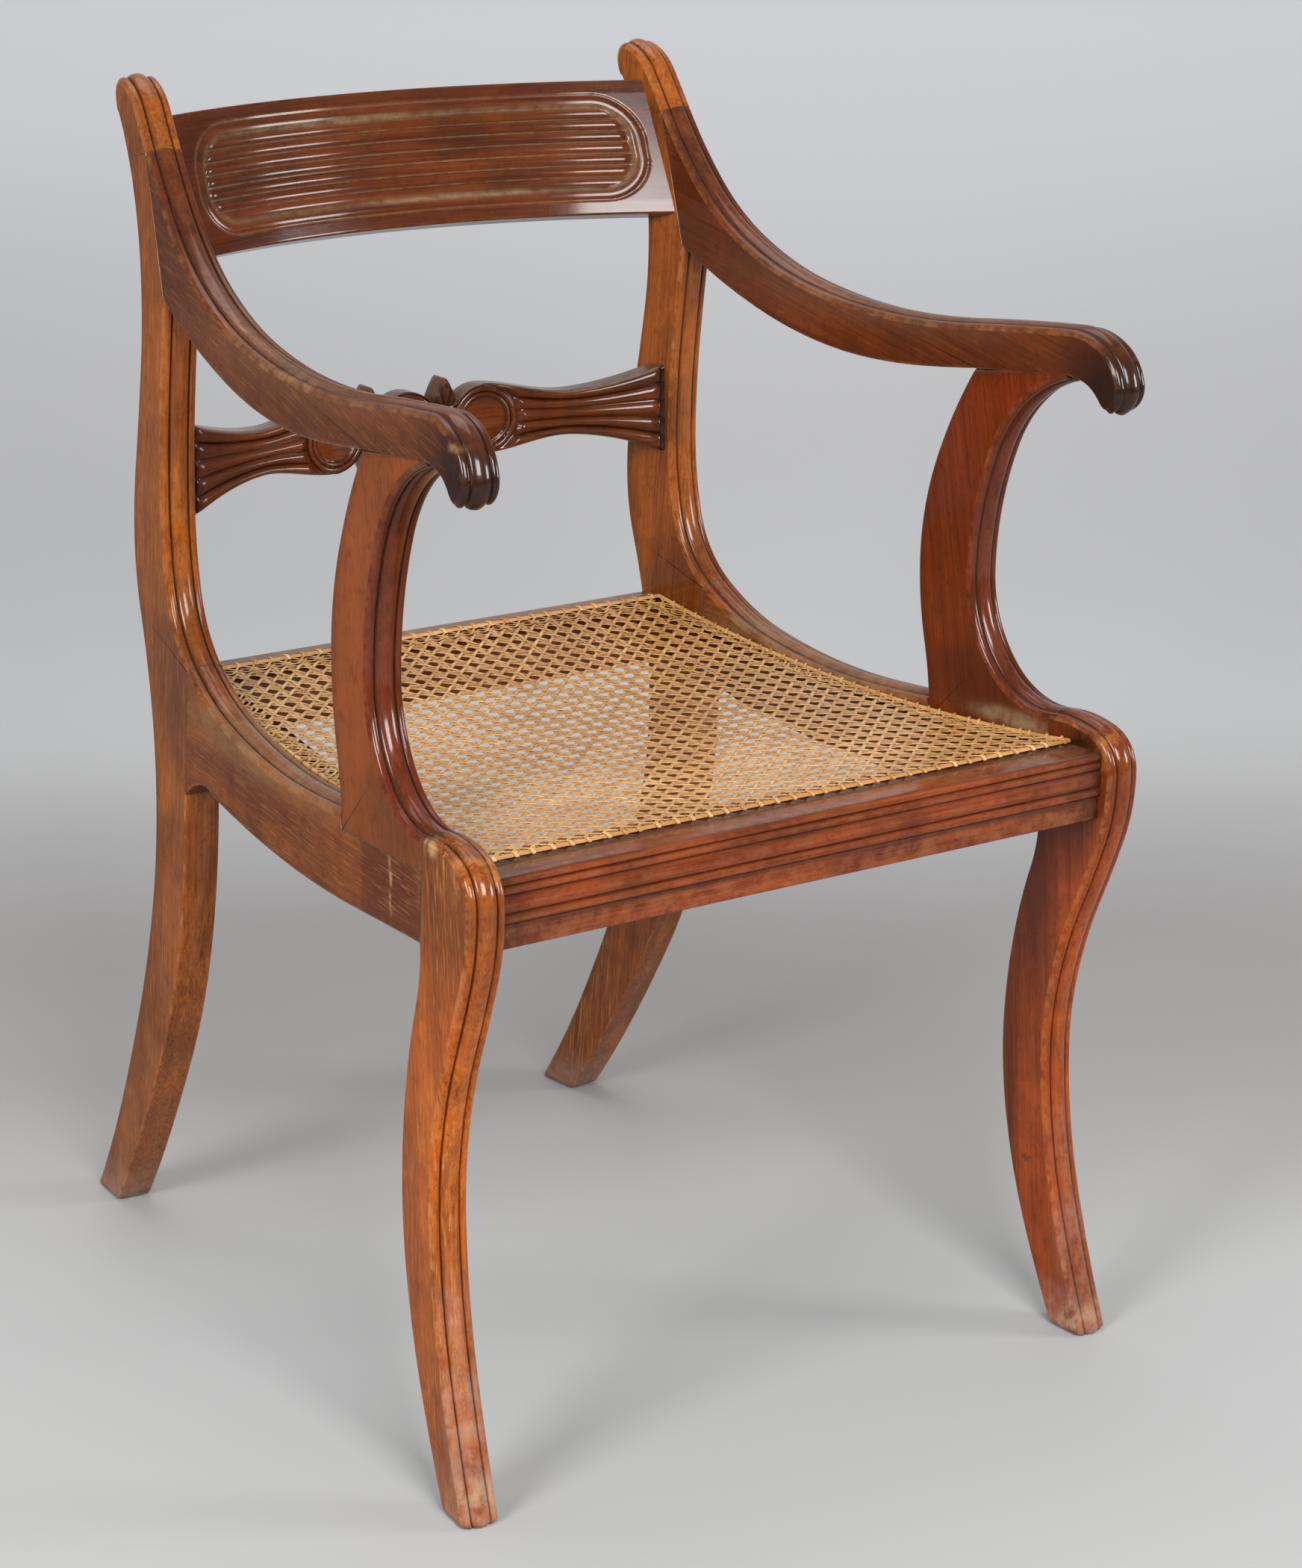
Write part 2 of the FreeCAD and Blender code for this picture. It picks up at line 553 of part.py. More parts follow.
def centre_outline():
    """Front shape of the centre rail: waisted wings, round lobes and pointed leaves."""
    mid = centre_base.z
    faces = [between_edges(wing_edge(side, 1.0), wing_edge(side, -1.0)) for side in (1.0, -1.0)]
    for step in (-1.0, 0.0, 1.0):
        circle = Part.Circle(V(step * roundel_pitch, 0, mid), V(0, 1, 0), roundel_lobe)
        faces.append(Part.Face(Part.Wire(circle.toShape())))
    for step in (-0.5, 0.5):
        x = step * roundel_pitch
        for up in (1.0, -1.0):
            tip = V(x, 0, mid + up * leaf_reach)
            foot = V(x, 0, mid - up * leaf_overlap)
            swell = [V(x + e * leaf_width, 0, mid + up * leaf_reach * leaf_swell) for e in (-1.0, 1.0)]
            faces.append(Part.Face(Part.Wire([Part.Arc(foot, swell[0], tip).toShape(),
                                              Part.Arc(tip, swell[1], foot).toShape()])))
    return [face.extrude(V(0, REACH, 0)) for face in faces]


centre_blank = bowed(centre_section(2 * wing_end, 0.0), centre_axis)
shapes = centre_outline()
centre_body = centre_blank.common(shapes[0].fuse(shapes[1:]))


def flute(side, share):
    """Groove along a wing, at a share of the wing's half height all the way."""
    half = flute_width / 2.0
    return between_edges(wing_edge(side, share, half), wing_edge(side, share, -half)).extrude(V(0, REACH, 0))


# Carving kept to its main lines: a sunk disc and a ring round each roundel, and grooves along the wings
skin_reach = V(0, flute_depth, 2 * wing_end)
skin_low, skin_high = centre_base - skin_reach, centre_base + skin_reach
centre_skin = bowed([V(0, y + centre_bow, z) for y, z in
                     ((skin_low.y, skin_low.z), (skin_low.y, skin_high.z), (skin_high.y, skin_high.z),
                      (skin_high.y, skin_low.z))], centre_axis)
discs, rings = [], []
for step in (-1.0, 0.0, 1.0):
    middle = V(step * roundel_pitch, 0, centre_base.z)
    discs.append(pin(middle, V(0, 1, 0), REACH, 2 * roundel_disc))
    rings.append(pin(middle, V(0, 1, 0), REACH, 2 * roundel_ring + flute_width).cut(
        pin(middle, V(0, 1, 0), REACH, 2 * roundel_ring - flute_width)))
flutes = [flute(side, share) for side in (1.0, -1.0) for share in flute_shares]
stop = roundel_pitch + roundel_ring + flute_stop
flute_room = between(-flute_stop).cut(
    Part.makeBox(2 * stop, REACH, REACH, V(-stop, 0, centre_base.z - REACH / 2.0)))
carving = discs[0].fuse(discs[1:] + rings).fuse([groove.common(flute_room) for groove in flutes])
centre_body = centre_body.cut(carving.common(centre_skin))
centre_half = wing_end - tenon_shoulder
centre_cheek = (centre_thickness - tenon_thickness) / 2.0
centre_rail = cross_member(centre_body,
                           bowed(centre_section(centre_half, centre_cheek), centre_axis),
                           bowed(centre_section(centre_half, centre_cheek, clearance), centre_axis),
                           bar_tenon_length, ("back_post",))

# Corner pegs that hold the cane's ends in the front and rear rails
pegs = []
for side in (-1.0, 1.0):
    for y in (cane_front + peg_set, cane_back - peg_set):
        half = side_spacing / 2.0 - y * math.tan(math.radians(side_splay)) - board / 2.0 - peg_side
        hole = pin(V(side * half, y, 0), V(0, 0, 1), REACH, peg_diameter + 2 * clearance)
        under = seat_slab(cane_thickness + clearance, cane_thickness + peg_length)
        drilled = seat_slab(0.0, cane_thickness + peg_length + clearance)
        pegs.append(pin(V(side * half, y, 0), V(0, 0, 1), REACH, peg_diameter).common(under))
        if y < 0:
            front_rail = front_rail.cut(hole.common(drilled))
        else:
            rear_rail = rear_rail.cut(hole.common(drilled))


def seat_half(y):
    """Half width of the cane at a place from front to back, level with its dip."""
    lean_in = dip_point.z * math.tan(math.radians(side_lean))
    return (side_spacing / 2.0 - y * math.tan(math.radians(side_splay))
            - board / (2.0 * math.cos(math.radians(side_splay))) - lean_in - cane_gap)


def cane_net():
    """Cane between the rails: one face with rows of gaps, in columns that follow the seat's taper."""
    corners = [V(-seat_half(cane_front), cane_front, 0), V(seat_half(cane_front), cane_front, 0),
               V(seat_half(cane_back), cane_back, 0), V(-seat_half(cane_back), cane_back, 0)]
    wires = [Part.makePolygon(corners + corners[:1])]
    for y_line in row_lines[:-1]:
        ends = (y_line + cane_bar / 2.0, y_line + row_pitch - cane_bar / 2.0)
        for j in range(cane_columns):
            ring = []
            for y, order in zip(ends, (1, -1)):
                span = 2.0 * (seat_half(y) - lip_width)
                pitch = span / cane_columns
                x = -span / 2.0 + j * pitch
                ring += [V(x + cane_bar / 2.0, y, 0), V(x + pitch - cane_bar / 2.0, y, 0)][::order]
            wires.append(Part.makePolygon(ring + ring[:1]))
    return Part.Face(wires, "Part::FaceMakerBullseye").extrude(V(0, 0, REACH))


cane_panel = cane_net().common(seat_slab(0.0, cane_thickness))
ring_plan = between(-cane_gap - binder_inset).common(deep(cane_front + binder_inset, cane_back - binder_inset))
edge = binder_inset + binder_width
ring_plan = ring_plan.cut(between(-cane_gap - edge).common(deep(cane_front + edge, cane_back - edge)))
cane_binder = ring_plan.common(seat_slab(-binder_thickness, 0.0))

nodes = {"front_rail": front_rail, "rear_rail": rear_rail, "top_bar": top_bar, "centre_rail": centre_rail,
         "cane_panel": cane_panel, "cane_binder": cane_binder, "corner_pegs": Part.Compound(pegs)}
for name, solid in right.items():
    nodes[name + "_right"] = solid
    nodes[name + "_left"] = mirrored(solid)
small = {"support_dowels": dowels, "arm_screws": [screw], "screw_pellets": [pellet]}
for name, solids in small.items():
    placed = [stand(solid) for solid in solids]
    nodes[name] = Part.Compound(placed + [mirrored(solid) for solid in placed])

# The origin is on the floor, in the middle of the chair's length and width
whole = Part.Compound(list(nodes.values())).optimalBoundingBox(False, False)
to_middle = V(0, -(whole.YMin + whole.YMax) / 2.0, 0)
os.makedirs("parts", exist_ok=True)
for name, solid in sorted(nodes.items()):
    placed = solid.copy()
    placed.translate(to_middle)
    placed.exportStep("parts/" + name + ".step")
    print(name, len(placed.Solids), "solids", round(placed.Volume / 1000.0, 1), "cm3", placed.isValid())
print("box", [round(v, 2) for v in (whole.XLength, whole.YLength, whole.ZLength)],
      "moved", round(to_middle.y, 2))
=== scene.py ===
# %% [markdown]
# # A bar back elbow chair, about 1815
# A mahogany armchair with reeded sabre legs, a carved back and a hand woven cane seat.
# The CAD model fixes the size and place of each piece. This script gives the pieces the skin of the real chair:
# worked edges, carving, woven cane, old polish and two hundred years of wear.

# %% Load the frame
import math

import bmesh
import bpy
import numpy as np
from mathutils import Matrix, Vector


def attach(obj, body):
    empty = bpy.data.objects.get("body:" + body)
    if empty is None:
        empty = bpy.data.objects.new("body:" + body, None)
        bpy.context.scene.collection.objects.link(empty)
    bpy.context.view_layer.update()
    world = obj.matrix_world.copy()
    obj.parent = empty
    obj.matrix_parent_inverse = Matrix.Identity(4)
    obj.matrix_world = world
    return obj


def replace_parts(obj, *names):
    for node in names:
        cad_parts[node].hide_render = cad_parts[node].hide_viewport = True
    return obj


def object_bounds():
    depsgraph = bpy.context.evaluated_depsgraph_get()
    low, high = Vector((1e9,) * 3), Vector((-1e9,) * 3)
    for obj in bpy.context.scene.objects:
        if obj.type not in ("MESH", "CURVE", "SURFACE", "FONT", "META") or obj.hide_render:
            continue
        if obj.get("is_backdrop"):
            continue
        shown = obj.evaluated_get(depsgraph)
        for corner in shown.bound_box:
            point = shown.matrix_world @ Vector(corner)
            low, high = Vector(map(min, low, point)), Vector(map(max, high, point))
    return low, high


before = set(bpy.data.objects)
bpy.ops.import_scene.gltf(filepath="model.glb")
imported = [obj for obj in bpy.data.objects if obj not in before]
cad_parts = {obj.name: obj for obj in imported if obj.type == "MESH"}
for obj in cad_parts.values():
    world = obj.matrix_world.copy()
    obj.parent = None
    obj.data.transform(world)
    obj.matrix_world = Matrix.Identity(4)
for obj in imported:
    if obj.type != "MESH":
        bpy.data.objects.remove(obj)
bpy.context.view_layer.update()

# %% [markdown]
# ## Tools for the lesson
# One helper turns a hex colour, as a paint program shows it, into the linear light that Cycles works with. One adds a
# shader node, sets its inputs and links it. One turns rings of points into a closed mesh, because nearly all of a
# chair is a section carried along a path. The others are curves that a carver's tools leave.

# %% Colours, nodes and meshes
MM = 0.001
DOUBLES = 0.00001              # points nearer than this, in metres, are one


def linear(colour):
    """Linear red, green, blue and alpha of an sRGB hex colour such as #8A4A24."""
    code = np.array([int(colour[i:i + 2], 16) for i in (1, 3, 5)]) / 255
    light = np.where(code <= 0.04045, code / 12.92, ((code + 0.055) / 1.055) ** 2.4)
    return (*light, 1)


def add(tree, kind, inputs=None, **settings):
    """Add one node; inputs maps a socket's name or number to a value, a hex colour or another node's output."""
    node = tree.nodes.new(kind)
    for name, value in settings.items():
        setattr(node, name, value)
    for key, value in (inputs or {}).items():
        socket = node.inputs[key]
        if isinstance(value, bpy.types.NodeSocket):
            tree.links.new(value, socket)
        else:
            socket.default_value = linear(value) if isinstance(value, str) else value
    return node


def blank(name):
    """A new material with an empty node tree, and that tree."""
    material = bpy.data.materials.new(name)
    material.use_nodes = True
    material.node_tree.nodes.clear()
    return material, material.node_tree


def smooth(value, low, high):
    """Ease from 0 at low to 1 at high."""
    t = np.clip((value - low) / (high - low), 0, 1)
    return t * t * (3 - 2 * t)


def hump(value, at, width):
    """A soft ridge: 1 where value is at, falling off as a bell over that width."""
    return np.exp(-((value - at) / width) ** 2)


def half_round(squared):
    """Height of a half round of radius 1, from the square of the distance to its middle line."""
    return np.sqrt(np.clip(1 - squared, 0, 1))


def raised(plan, heights):
    """Points of a plan, each at its own height."""
    return np.concatenate([plan, heights[..., None]], -1)


def skin(name, rings, angle=40, **attributes):
    """Mesh from rings[strand, step, corner, xyz] in mm, or rings[step, corner, xyz] for one strand.

    Each ring is joined to the next and the ends are closed. An attribute with as many axes as the rings is a vector.
    """
    axes = rings.ndim
    rings = rings.reshape(-1, *rings.shape[-3:])
    strands, steps, corners, _ = rings.shape
    points = rings.reshape(-1, 3) * MM
    index = np.arange(len(points)).reshape(strands, steps, corners)
    near, far = index[:, :-1], index[:, 1:]
    quads = np.stack([near, np.roll(near, -1, 2), np.roll(far, -1, 2), far], -1).reshape(-1, 4)
    a, b, c, d = (points[quads[:, i]] for i in range(4))
    volume = np.einsum("ij,ij->", a, np.cross(b, c) + np.cross(c, d))
    faces = quads.tolist() + index[:, 0, ::-1].tolist() + index[:, -1].tolist()
    if volume < 0:
        faces = [face[::-1] for face in faces]
    mesh = bpy.data.meshes.new(name)
    mesh.from_pydata(points.tolist(), [], faces)
    for key, values in attributes.items():
        vector = values.ndim == axes
        layer = mesh.attributes.new(key, "FLOAT_VECTOR" if vector else "FLOAT", "POINT")
        layer.data.foreach_set("vector" if vector else "value", np.ascontiguousarray(values, np.float32).ravel())
    work = bmesh.new()
    work.from_mesh(mesh)
    bmesh.ops.remove_doubles(work, verts=work.verts, dist=DOUBLES)
    bmesh.ops.dissolve_degenerate(work, edges=work.edges, dist=DOUBLES / 2)
    work.to_mesh(mesh)
    work.free()
    mesh.polygons.foreach_set("use_smooth", np.ones(len(mesh.polygons), bool))
    mesh.set_sharp_from_angle(angle=math.radians(angle))
    piece = bpy.data.objects.new(name.replace(" ", "_"), mesh)
    bpy.context.scene.collection.objects.link(piece)
    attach(piece, "root")
    print(name, len(mesh.polygons), "faces")
    return piece


print("mid grey of a paint program in linear light", linear("#808080")[0])

# %% [markdown]
# ## The side pattern
# A chairmaker keeps the side of a chair as a thin wooden pattern. Here it is a list of marks: how far back, how high,
# and which way the edge is heading. Between two marks run two arcs that share a tangent, as a compass would draw them.

# %% Curves of the pattern
def arc(start, heading, end, count=48):
    """Points on the arc from start to end that leaves start along heading: chords turn by half the arc's angle."""
    chord = end - start
    reach = np.hypot(*chord)
    aim = math.atan2(chord[1], chord[0]) - math.atan2(heading[1], heading[0])
    turn = 2 * math.atan2(math.sin(aim), math.cos(aim))
    share = np.linspace(0, 1, count)
    bend = share * turn / 2
    grow = share if abs(turn) < 1e-6 else np.sin(bend) / math.sin(turn / 2)
    first = math.atan2(heading[1], heading[0])
    return start + (reach * grow)[:, None] * np.stack([np.cos(first + bend), np.sin(first + bend)], -1)


def flow(*marks):
    """One run of points per pair of marks (back, up, heading in degrees): two arcs that meet tangent to each other."""
    runs = []
    for (ps, pz, pa), (qs, qz, qa) in zip(marks, marks[1:]):
        p, q = np.array([ps, pz], float), np.array([qs, qz], float)
        t, u = (np.array([math.cos(math.radians(a)), math.sin(math.radians(a))]) for a in (pa, qa))
        chord = q - p
        along = chord @ (t + u)
        bend = 2 * (1 - t @ u)
        if bend < 1e-9:
            reach = (chord @ chord) / (4 * (chord @ t))
        else:
            reach = (math.sqrt(along * along + bend * (chord @ chord)) - along) / bend
        meet = (p + q + (t - u) * reach) / 2
        runs.append(np.vstack([arc(p, t, meet), arc(meet, meet - p - t * reach, q)[1:]]))
    return runs


def line(*marks):
    """A straight run through the marks."""
    return np.array(marks, float)


def travel(run):
    """How far along the run each of its points lies."""
    return np.r_[0, np.cumsum(np.hypot(*np.diff(run, axis=0).T))]


def cut(run, share):
    """The run in two pieces, parted at that share of its length."""
    far = travel(run)
    at = share * far[-1]
    middle = np.array([[np.interp(at, far, run[:, 0]), np.interp(at, far, run[:, 1])]])
    return np.vstack([run[far < at], middle]), np.vstack([middle, run[far > at]])


def joined(*runs):
    """Runs end to end as one, without the doubled points."""
    return np.vstack([runs[0]] + [run[1:] for run in runs[1:]])


def to_floor(run):
    """The run down to the floor: the pattern is drawn a little below it."""
    last = int(np.argmax(run[:, 1] < 0))
    share = run[last - 1, 1] / (run[last - 1, 1] - run[last, 1])
    return np.vstack([run[:last], run[last - 1] + share * (run[last] - run[last - 1])])


ARM_CREST, ARM_HEEL = (188, 803), (165, 708)
RAIL_CREST, RAIL_HORN = (142, 457), (154, 365)
SHOULDER, LEG_HEEL = (-226, 440), (-218, 373)
PROP_TOP_BACK, PROP_TOP_FRONT = (-147, 665), (-232, 673)
PROP_FOOT_BACK, PROP_FOOT_FRONT = (-107, 414), (-223.6, 420)
RAIL_AT_PROP = (-104.5, 424)

nose_edge = joined(*flow((236, 826, 51), (230, 845, 191), (*ARM_CREST, 237)))
arm_edge = flow((*ARM_CREST, 237), (103, 720, 207), (-45, 687, 182), (-235, 700, 176), (-278, 671, 260),
                (-270, 656, 333))
post_edge = joined(*flow((*ARM_HEEL, 280), (182, 570, 272), (*RAIL_CREST, 213)))
rail_edge = joined(*flow((*RAIL_CREST, 213), (10, 421, 184), (*RAIL_AT_PROP, 175)))
prop_edge = flow((*PROP_TOP_FRONT, -16), (-143.5, 522, -89), (*SHOULDER, 172))
leg_edge = flow((*SHOULDER, 172), (-282.5, 412, 270), (-253.5, 314, 294), (-227.5, 195, 269), (-274, -10, 249))
post_back = flow((236, 826, 236), (205, 725, 268), (226, 585, 284), (226, 480, 253), (208, 360, 271), (252, 182, 294),
                 (361, -10, 307))
post_leg = flow((323, -10, 129), (215, 150, 120), (*RAIL_HORN, 93))
scroll_under = flow((-270, 656, 0), (-257, 666, 39), (*PROP_TOP_FRONT, 0))
arm_under = flow((*PROP_TOP_BACK, -8), (-40, 656, 0), (*ARM_HEEL, 27))
prop_back = joined(*flow((*PROP_FOOT_BACK, 89), (-95, 520, 90), (*PROP_TOP_BACK, 125)))
rail_under = flow((*RAIL_HORN, 136), (120, 381, 174), (95, 376.5, 188), (-40, 365.5, 181), (*LEG_HEEL, 177))
leg_back = flow((*LEG_HEEL, -91), (-199, 290, -77), (-192, 150, -99), (-248, -10, -117))
print("pattern drawn")

# %% [markdown]
# ## The reeded boards
# Post, arm, arm support, side rail and leg are each sawn from a board 26 mm thick. The maker then ran a scratch stock,
# a small scraper in a fence, along the front edge: a wide reed between two beads, parted by narrow quirks.
# Each board is a skin of rings. A ring goes up one face, over the worked edge, down the other face and along the back.

# %% Sections and placing
BOARD = 26
SPACING, SPLAY, LEAN, SHIFT = 455, math.radians(4.5), math.radians(0.49), -33.24
HALF = BOARD / 2
QUIRK = 6.6                    # from the middle of the worked edge to the quirk beside the wide reed
STATION = 2.6                  # step along a board
TOE_ROUND, TOE_RISE = 2.6, 3  # rounding of a foot where it meets the floor
FREE, FIT = 1.3, 0.28          # rounding of a free arris, and of the edge at a joint


def place(across, back, up, side):
    """Pattern to chair: the board leans in by LEAN, opens to the front by SPLAY and stands to its side."""
    lean = across * math.cos(LEAN) - up * math.sin(LEAN)
    x = SPACING / 2 + lean * math.cos(SPLAY) - back * math.sin(SPLAY)
    y = lean * math.sin(SPLAY) + back * math.cos(SPLAY) + SHIFT
    z = across * math.sin(LEAN) + up * math.cos(LEAN)
    return np.stack([side * x, y, z], -1)


def reed(across):
    """Height of the worked edge: a low dome between two round beads, less a narrow quirk at each meeting."""
    off = np.abs(across)
    dome = 5.2 - 2.7 * (off / QUIRK) ** 2
    bead = 2.9 * half_round(((off - 9.2) / 3.2) ** 2)
    return np.where(off < QUIRK, dome, bead) - 1.3 * hump(off, QUIRK, 0.45)


def walk(run, count):
    """Count points evenly along the run, and the unit tangent at each."""
    far = travel(run)
    at = np.linspace(0, far[-1], count)
    points = np.stack([np.interp(at, far, run[:, i]) for i in (0, 1)], -1)
    tangent = np.gradient(points, axis=0)
    return points, tangent / np.maximum(np.hypot(*tangent.T), 1e-9)[:, None]


WORKED = np.r_[-12.95, -12.6, -12.1, -11.5, -10.6, -9.5, -8.5, -7.7, -7.2, -6.95, -6.75, -6.6, -6.45, -6.25, -6, -5.5,
               -4.6, -3.2, -1.6, 0]
WORKED = np.r_[WORKED, -WORKED[-2::-1]]
PLAIN = np.r_[-12.95, -12.6, -12.1, -11.4, -8, 0, 8, 11.4, 12.1, 12.6, 12.95]
FLANK = np.array([0, 0.025, 0.07, 0.14, 0.23, 0.32, 0.41, 0.5, 0.59, 0.68, 0.77, 0.86, 0.93, 0.975, 1])
print("worked edge", len(WORKED), "points, plain edge", len(PLAIN))

# %% [markdown]
# ## Marks of use
# Hands, dust cloths and brooms always reach the same places, so wear is placed, not strewn. Each row of these tables is
# a soft spot on a board's pattern. The board turns its rows into vertex attributes, which the wood's shader reads.

# %% Where each board is marked
# which mark, back, up, reach back, reach up (mm), face (1 outer, -1 inner, 0 both), strength
CORNERS = [("grime", -258, 424, 14, 16, -1, 1), ("grime", -222, 444, 12, 6, 0, 0.8),
           ("shade", -248, 420, 75, 76, 0, 0.85), ("scuff", -252, 415, 22, 30, 1, 1),
           ("wear", -272, 428, 12, 20, 0, 1), ("grime", -216, 405, 3, 34, 0, 0.5)]
SCROLL = [("shade", -262, 676, 42, 34, 0, 1), ("grime", -272, 664, 28, 27, 0, 0.92),
          ("scar", -268, 688, 5, 2, 1, 0.35), ("grime", -262, 690, 9, 5, 0, 0.6),
          ("dust", -50, 702, 150, 24, 0, 0.22)]
SHIN = [("foot", -264, 25, 13, 34, 0, 0.6), ("foot", -255, 85, 13, 45, 0, 0.66), ("foot", -246, 145, 12, 42, 0, 0.45),
        ("shade", -235, 40, 60, 110, 0, 0.45), ("scuff", -232, 170, 40, 130, 1, 0.5),
        ("grime", -262, 30, 26, 22, 0, 0.25)]
STAINED = [("shade", 275, 230, 24, 55, 0, 0.7), ("shade", 298, 150, 24, 50, 0, 0.7), ("shade", 330, 60, 24, 55, 0, 0.6),
           ("scuff", 265, 200, 70, 160, 0, 0.5), ("shade", 170, 440, 46, 60, 0, 0.7),
           ("shade", 205, 585, 60, 26, -1, 0.5), ("shade", 335, 40, 60, 50, -1, 0.5),
           ("scuff", 300, 90, 60, 70, -1, 0.8)]
DUSTY = [("dust", 25, 428, 140, 18, 0, 0.55)]
SPOTS = {
    "front_leg_left": CORNERS + SHIN + [
        ("scar", -232, 438, 12, 5, 1, 0.8), ("dust", -246, 432, 24, 12, -1, 0.7), ("scar", -266, 20, 5, 12, 0, 0.4),
        ("shade", -205, 200, 10, 150, 0, 0.5)],
    # the right leg is half as worn below
    "front_leg_right": CORNERS + [row[:6] + (0.5 * row[6],) for row in SHIN] + [
        ("scar", -262, 12, 11, 10, 0, 0.4), ("shade", -215, 330, 22, 80, -1, 0.9),
        ("shade", -195, 190, 10, 90, -1, 0.8), ("grime", -215, 118, 6, 2, -1, 0.8)],
    "arm_left": SCROLL + [
        ("scar", -40, 689, 45, 2, 1, 0.18), ("shade", -120, 668, 90, 12, 1, 0.5), ("scuff", 60, 690, 90, 40, 1, 0.6),
        ("shade", 165, 738, 44, 60, 0, 0.6)],
    "arm_right": SCROLL + [("shade", 150, 745, 30, 60, 0, 0.5)],
    "back_post_left": STAINED + [("shade", 212, 815, 34, 40, 1, 0.35), ("scar", 229, 600, 5, 26, 0, 0.7)],
    "back_post_right": STAINED + [
        ("shade", 148, 560, 13, 120, 0, 0.75), ("shade", 158, 690, 13, 60, 0, 0.6),
        ("shade", 200, 790, 26, 22, -1, 0.6)],
    "side_rail_right": DUSTY,
    "side_rail_left": DUSTY + [
        ("repair", -176, 395, 41, 60, 1, 1), ("scar", -178, 398, 1.5, 24, 1, 0.9),
        ("scuff", -190, 395, 34, 22, 1, 0.9), ("shade", 60, 400, 120, 14, 1, 0.4)],
    "arm_support_left": [("shade", -190, 440, 52, 40, 0, 0.55), ("scuff", -170, 520, 20, 60, 1, 0.6)],
    "arm_support_right": [
        ("dust", -190, 431, 40, 7, -1, 0.9), ("shade", -170, 450, 70, 34, 0, 0.9),
        ("shade", -130, 560, 60, 130, -1, 0.35)],
}
print("local marks", sum(len(rows) for rows in SPOTS.values()))

# %% [markdown]
# ## One board
# The board is laid out flat on its pattern first, ring by ring, and only then stood up in its place. That keeps every
# measure in the maker's own terms: how far back, how high, how far across the thickness.

# %% A board laid out flat
def laid_out(fronts, backs, worked, free_front, free_back, floor):
    """Rings between a front and a back edge, both cut into the same bays: place on the pattern and across the board.

    Round the ring: the worked edge stands out along its normal by the reed's height and is rounded at both arrises;
    the flanks go straight from the front edge to the back edge; the back edge is rounded the same way.
    """
    bays = []
    for f, b, w, free_f, free_b in zip(fronts, backs, worked, free_front, free_back):
        n = max(4, int(max(travel(f)[-1], travel(b)[-1]) / STATION))
        (fp, ft), (bp, bt) = walk(f, n), walk(b, n)
        bays.append((fp, bp, np.stack([ft[:, 1], -ft[:, 0]], -1), np.stack([-bt[:, 1], bt[:, 0]], -1),
                     *(np.full(n, value) for value in (float(w), FREE if free_f else FIT, FREE if free_b else FIT))))
    front, back, fn, bn, amount, rf, rb = (np.concatenate(part) for part in zip(*bays))
    depth = np.hypot(*(back - front).T)
    slim = np.clip(depth / 8, 0.02, 1)
    rf, rb = rf * slim, rb * slim
    inset = np.zeros(len(front))
    if floor:
        low = np.clip(TOE_RISE - np.minimum(front[:, 1], back[:, 1]), 0, TOE_RISE)
        inset = TOE_ROUND - np.sqrt(np.clip(TOE_ROUND ** 2 - (low * TOE_ROUND / TOE_RISE) ** 2, 0, None))
    ends = np.minimum(np.arange(len(front)), np.arange(len(front))[::-1])
    inset = inset + np.where(ends == 0, FIT, 0) * slim

    def edge(points, normals, across, rounding, lift):
        """Points of one worked or plain edge over all stations."""
        over = np.clip(np.abs(across) - (HALF - rounding[:, None]), 0, rounding[:, None])
        drop = rounding[:, None] - np.sqrt(np.clip(rounding[:, None] ** 2 - over ** 2, 0, None))
        out = lift - drop - inset[:, None]
        w = across * (1 - inset[:, None] / HALF)
        return points[:, None] + normals[:, None] * out[..., None], np.broadcast_to(w, out.shape)

    def flank(sign, order):
        """One flat face, from the rounding of the front arris to that of the back arris."""
        start = front - fn * (rf + inset)[:, None]
        stop = back - bn * (rb + inset)[:, None]
        share = FLANK[order, None]
        flat = start[:, None] * (1 - share) + stop[:, None] * share
        return flat, np.broadcast_to((sign * (HALF - inset))[:, None], flat.shape[:2])

    e1, w1 = edge(front, fn, WORKED, rf, amount[:, None] * reed(WORKED))
    e2, w2 = flank(1, slice(None))
    e3, w3 = edge(back, bn, PLAIN[::-1], rb, 0)
    e4, w4 = flank(-1, slice(None, None, -1))
    flat = np.concatenate([e1, e2, e3, e4], 1)
    across = np.concatenate([w1, w2, w3, w4], 1)
    if floor:
        flat[-1, :, 1] = 0
        flat[..., 1] = np.maximum(flat[..., 1], 0)
    chord = (front[-1] + back[-1] - front[0] - back[0]) / 2
    return flat, across, chord / np.hypot(*chord), (amount, rf, rb, ends)


print("worked edge stands out at its middle and at a quirk by", reed(np.array([0, QUIRK])), "mm")

# %% [markdown]
# The marks go on while the board is still flat: dirt in the quirks and at the joints, bare wood on the arrises, a dry
# pale foot, and then the rows of the tables. Each mark is a number from 0 to 1 at every point of the mesh.

# %% A board marked and stood in its place
# which corners of a ring lie on the worked edge, the outer face, the back edge and the inner face
n1, n2, n3 = np.cumsum([len(WORKED), len(FLANK), len(PLAIN)])
REEDS, OUTER, REAR, INWARD = slice(0, n1), slice(n1, n2), slice(n2, n3), slice(n3, None)
FRONT_ARRISES, BACK_ARRISES = [n1, -1], [n2 - 1, n3]


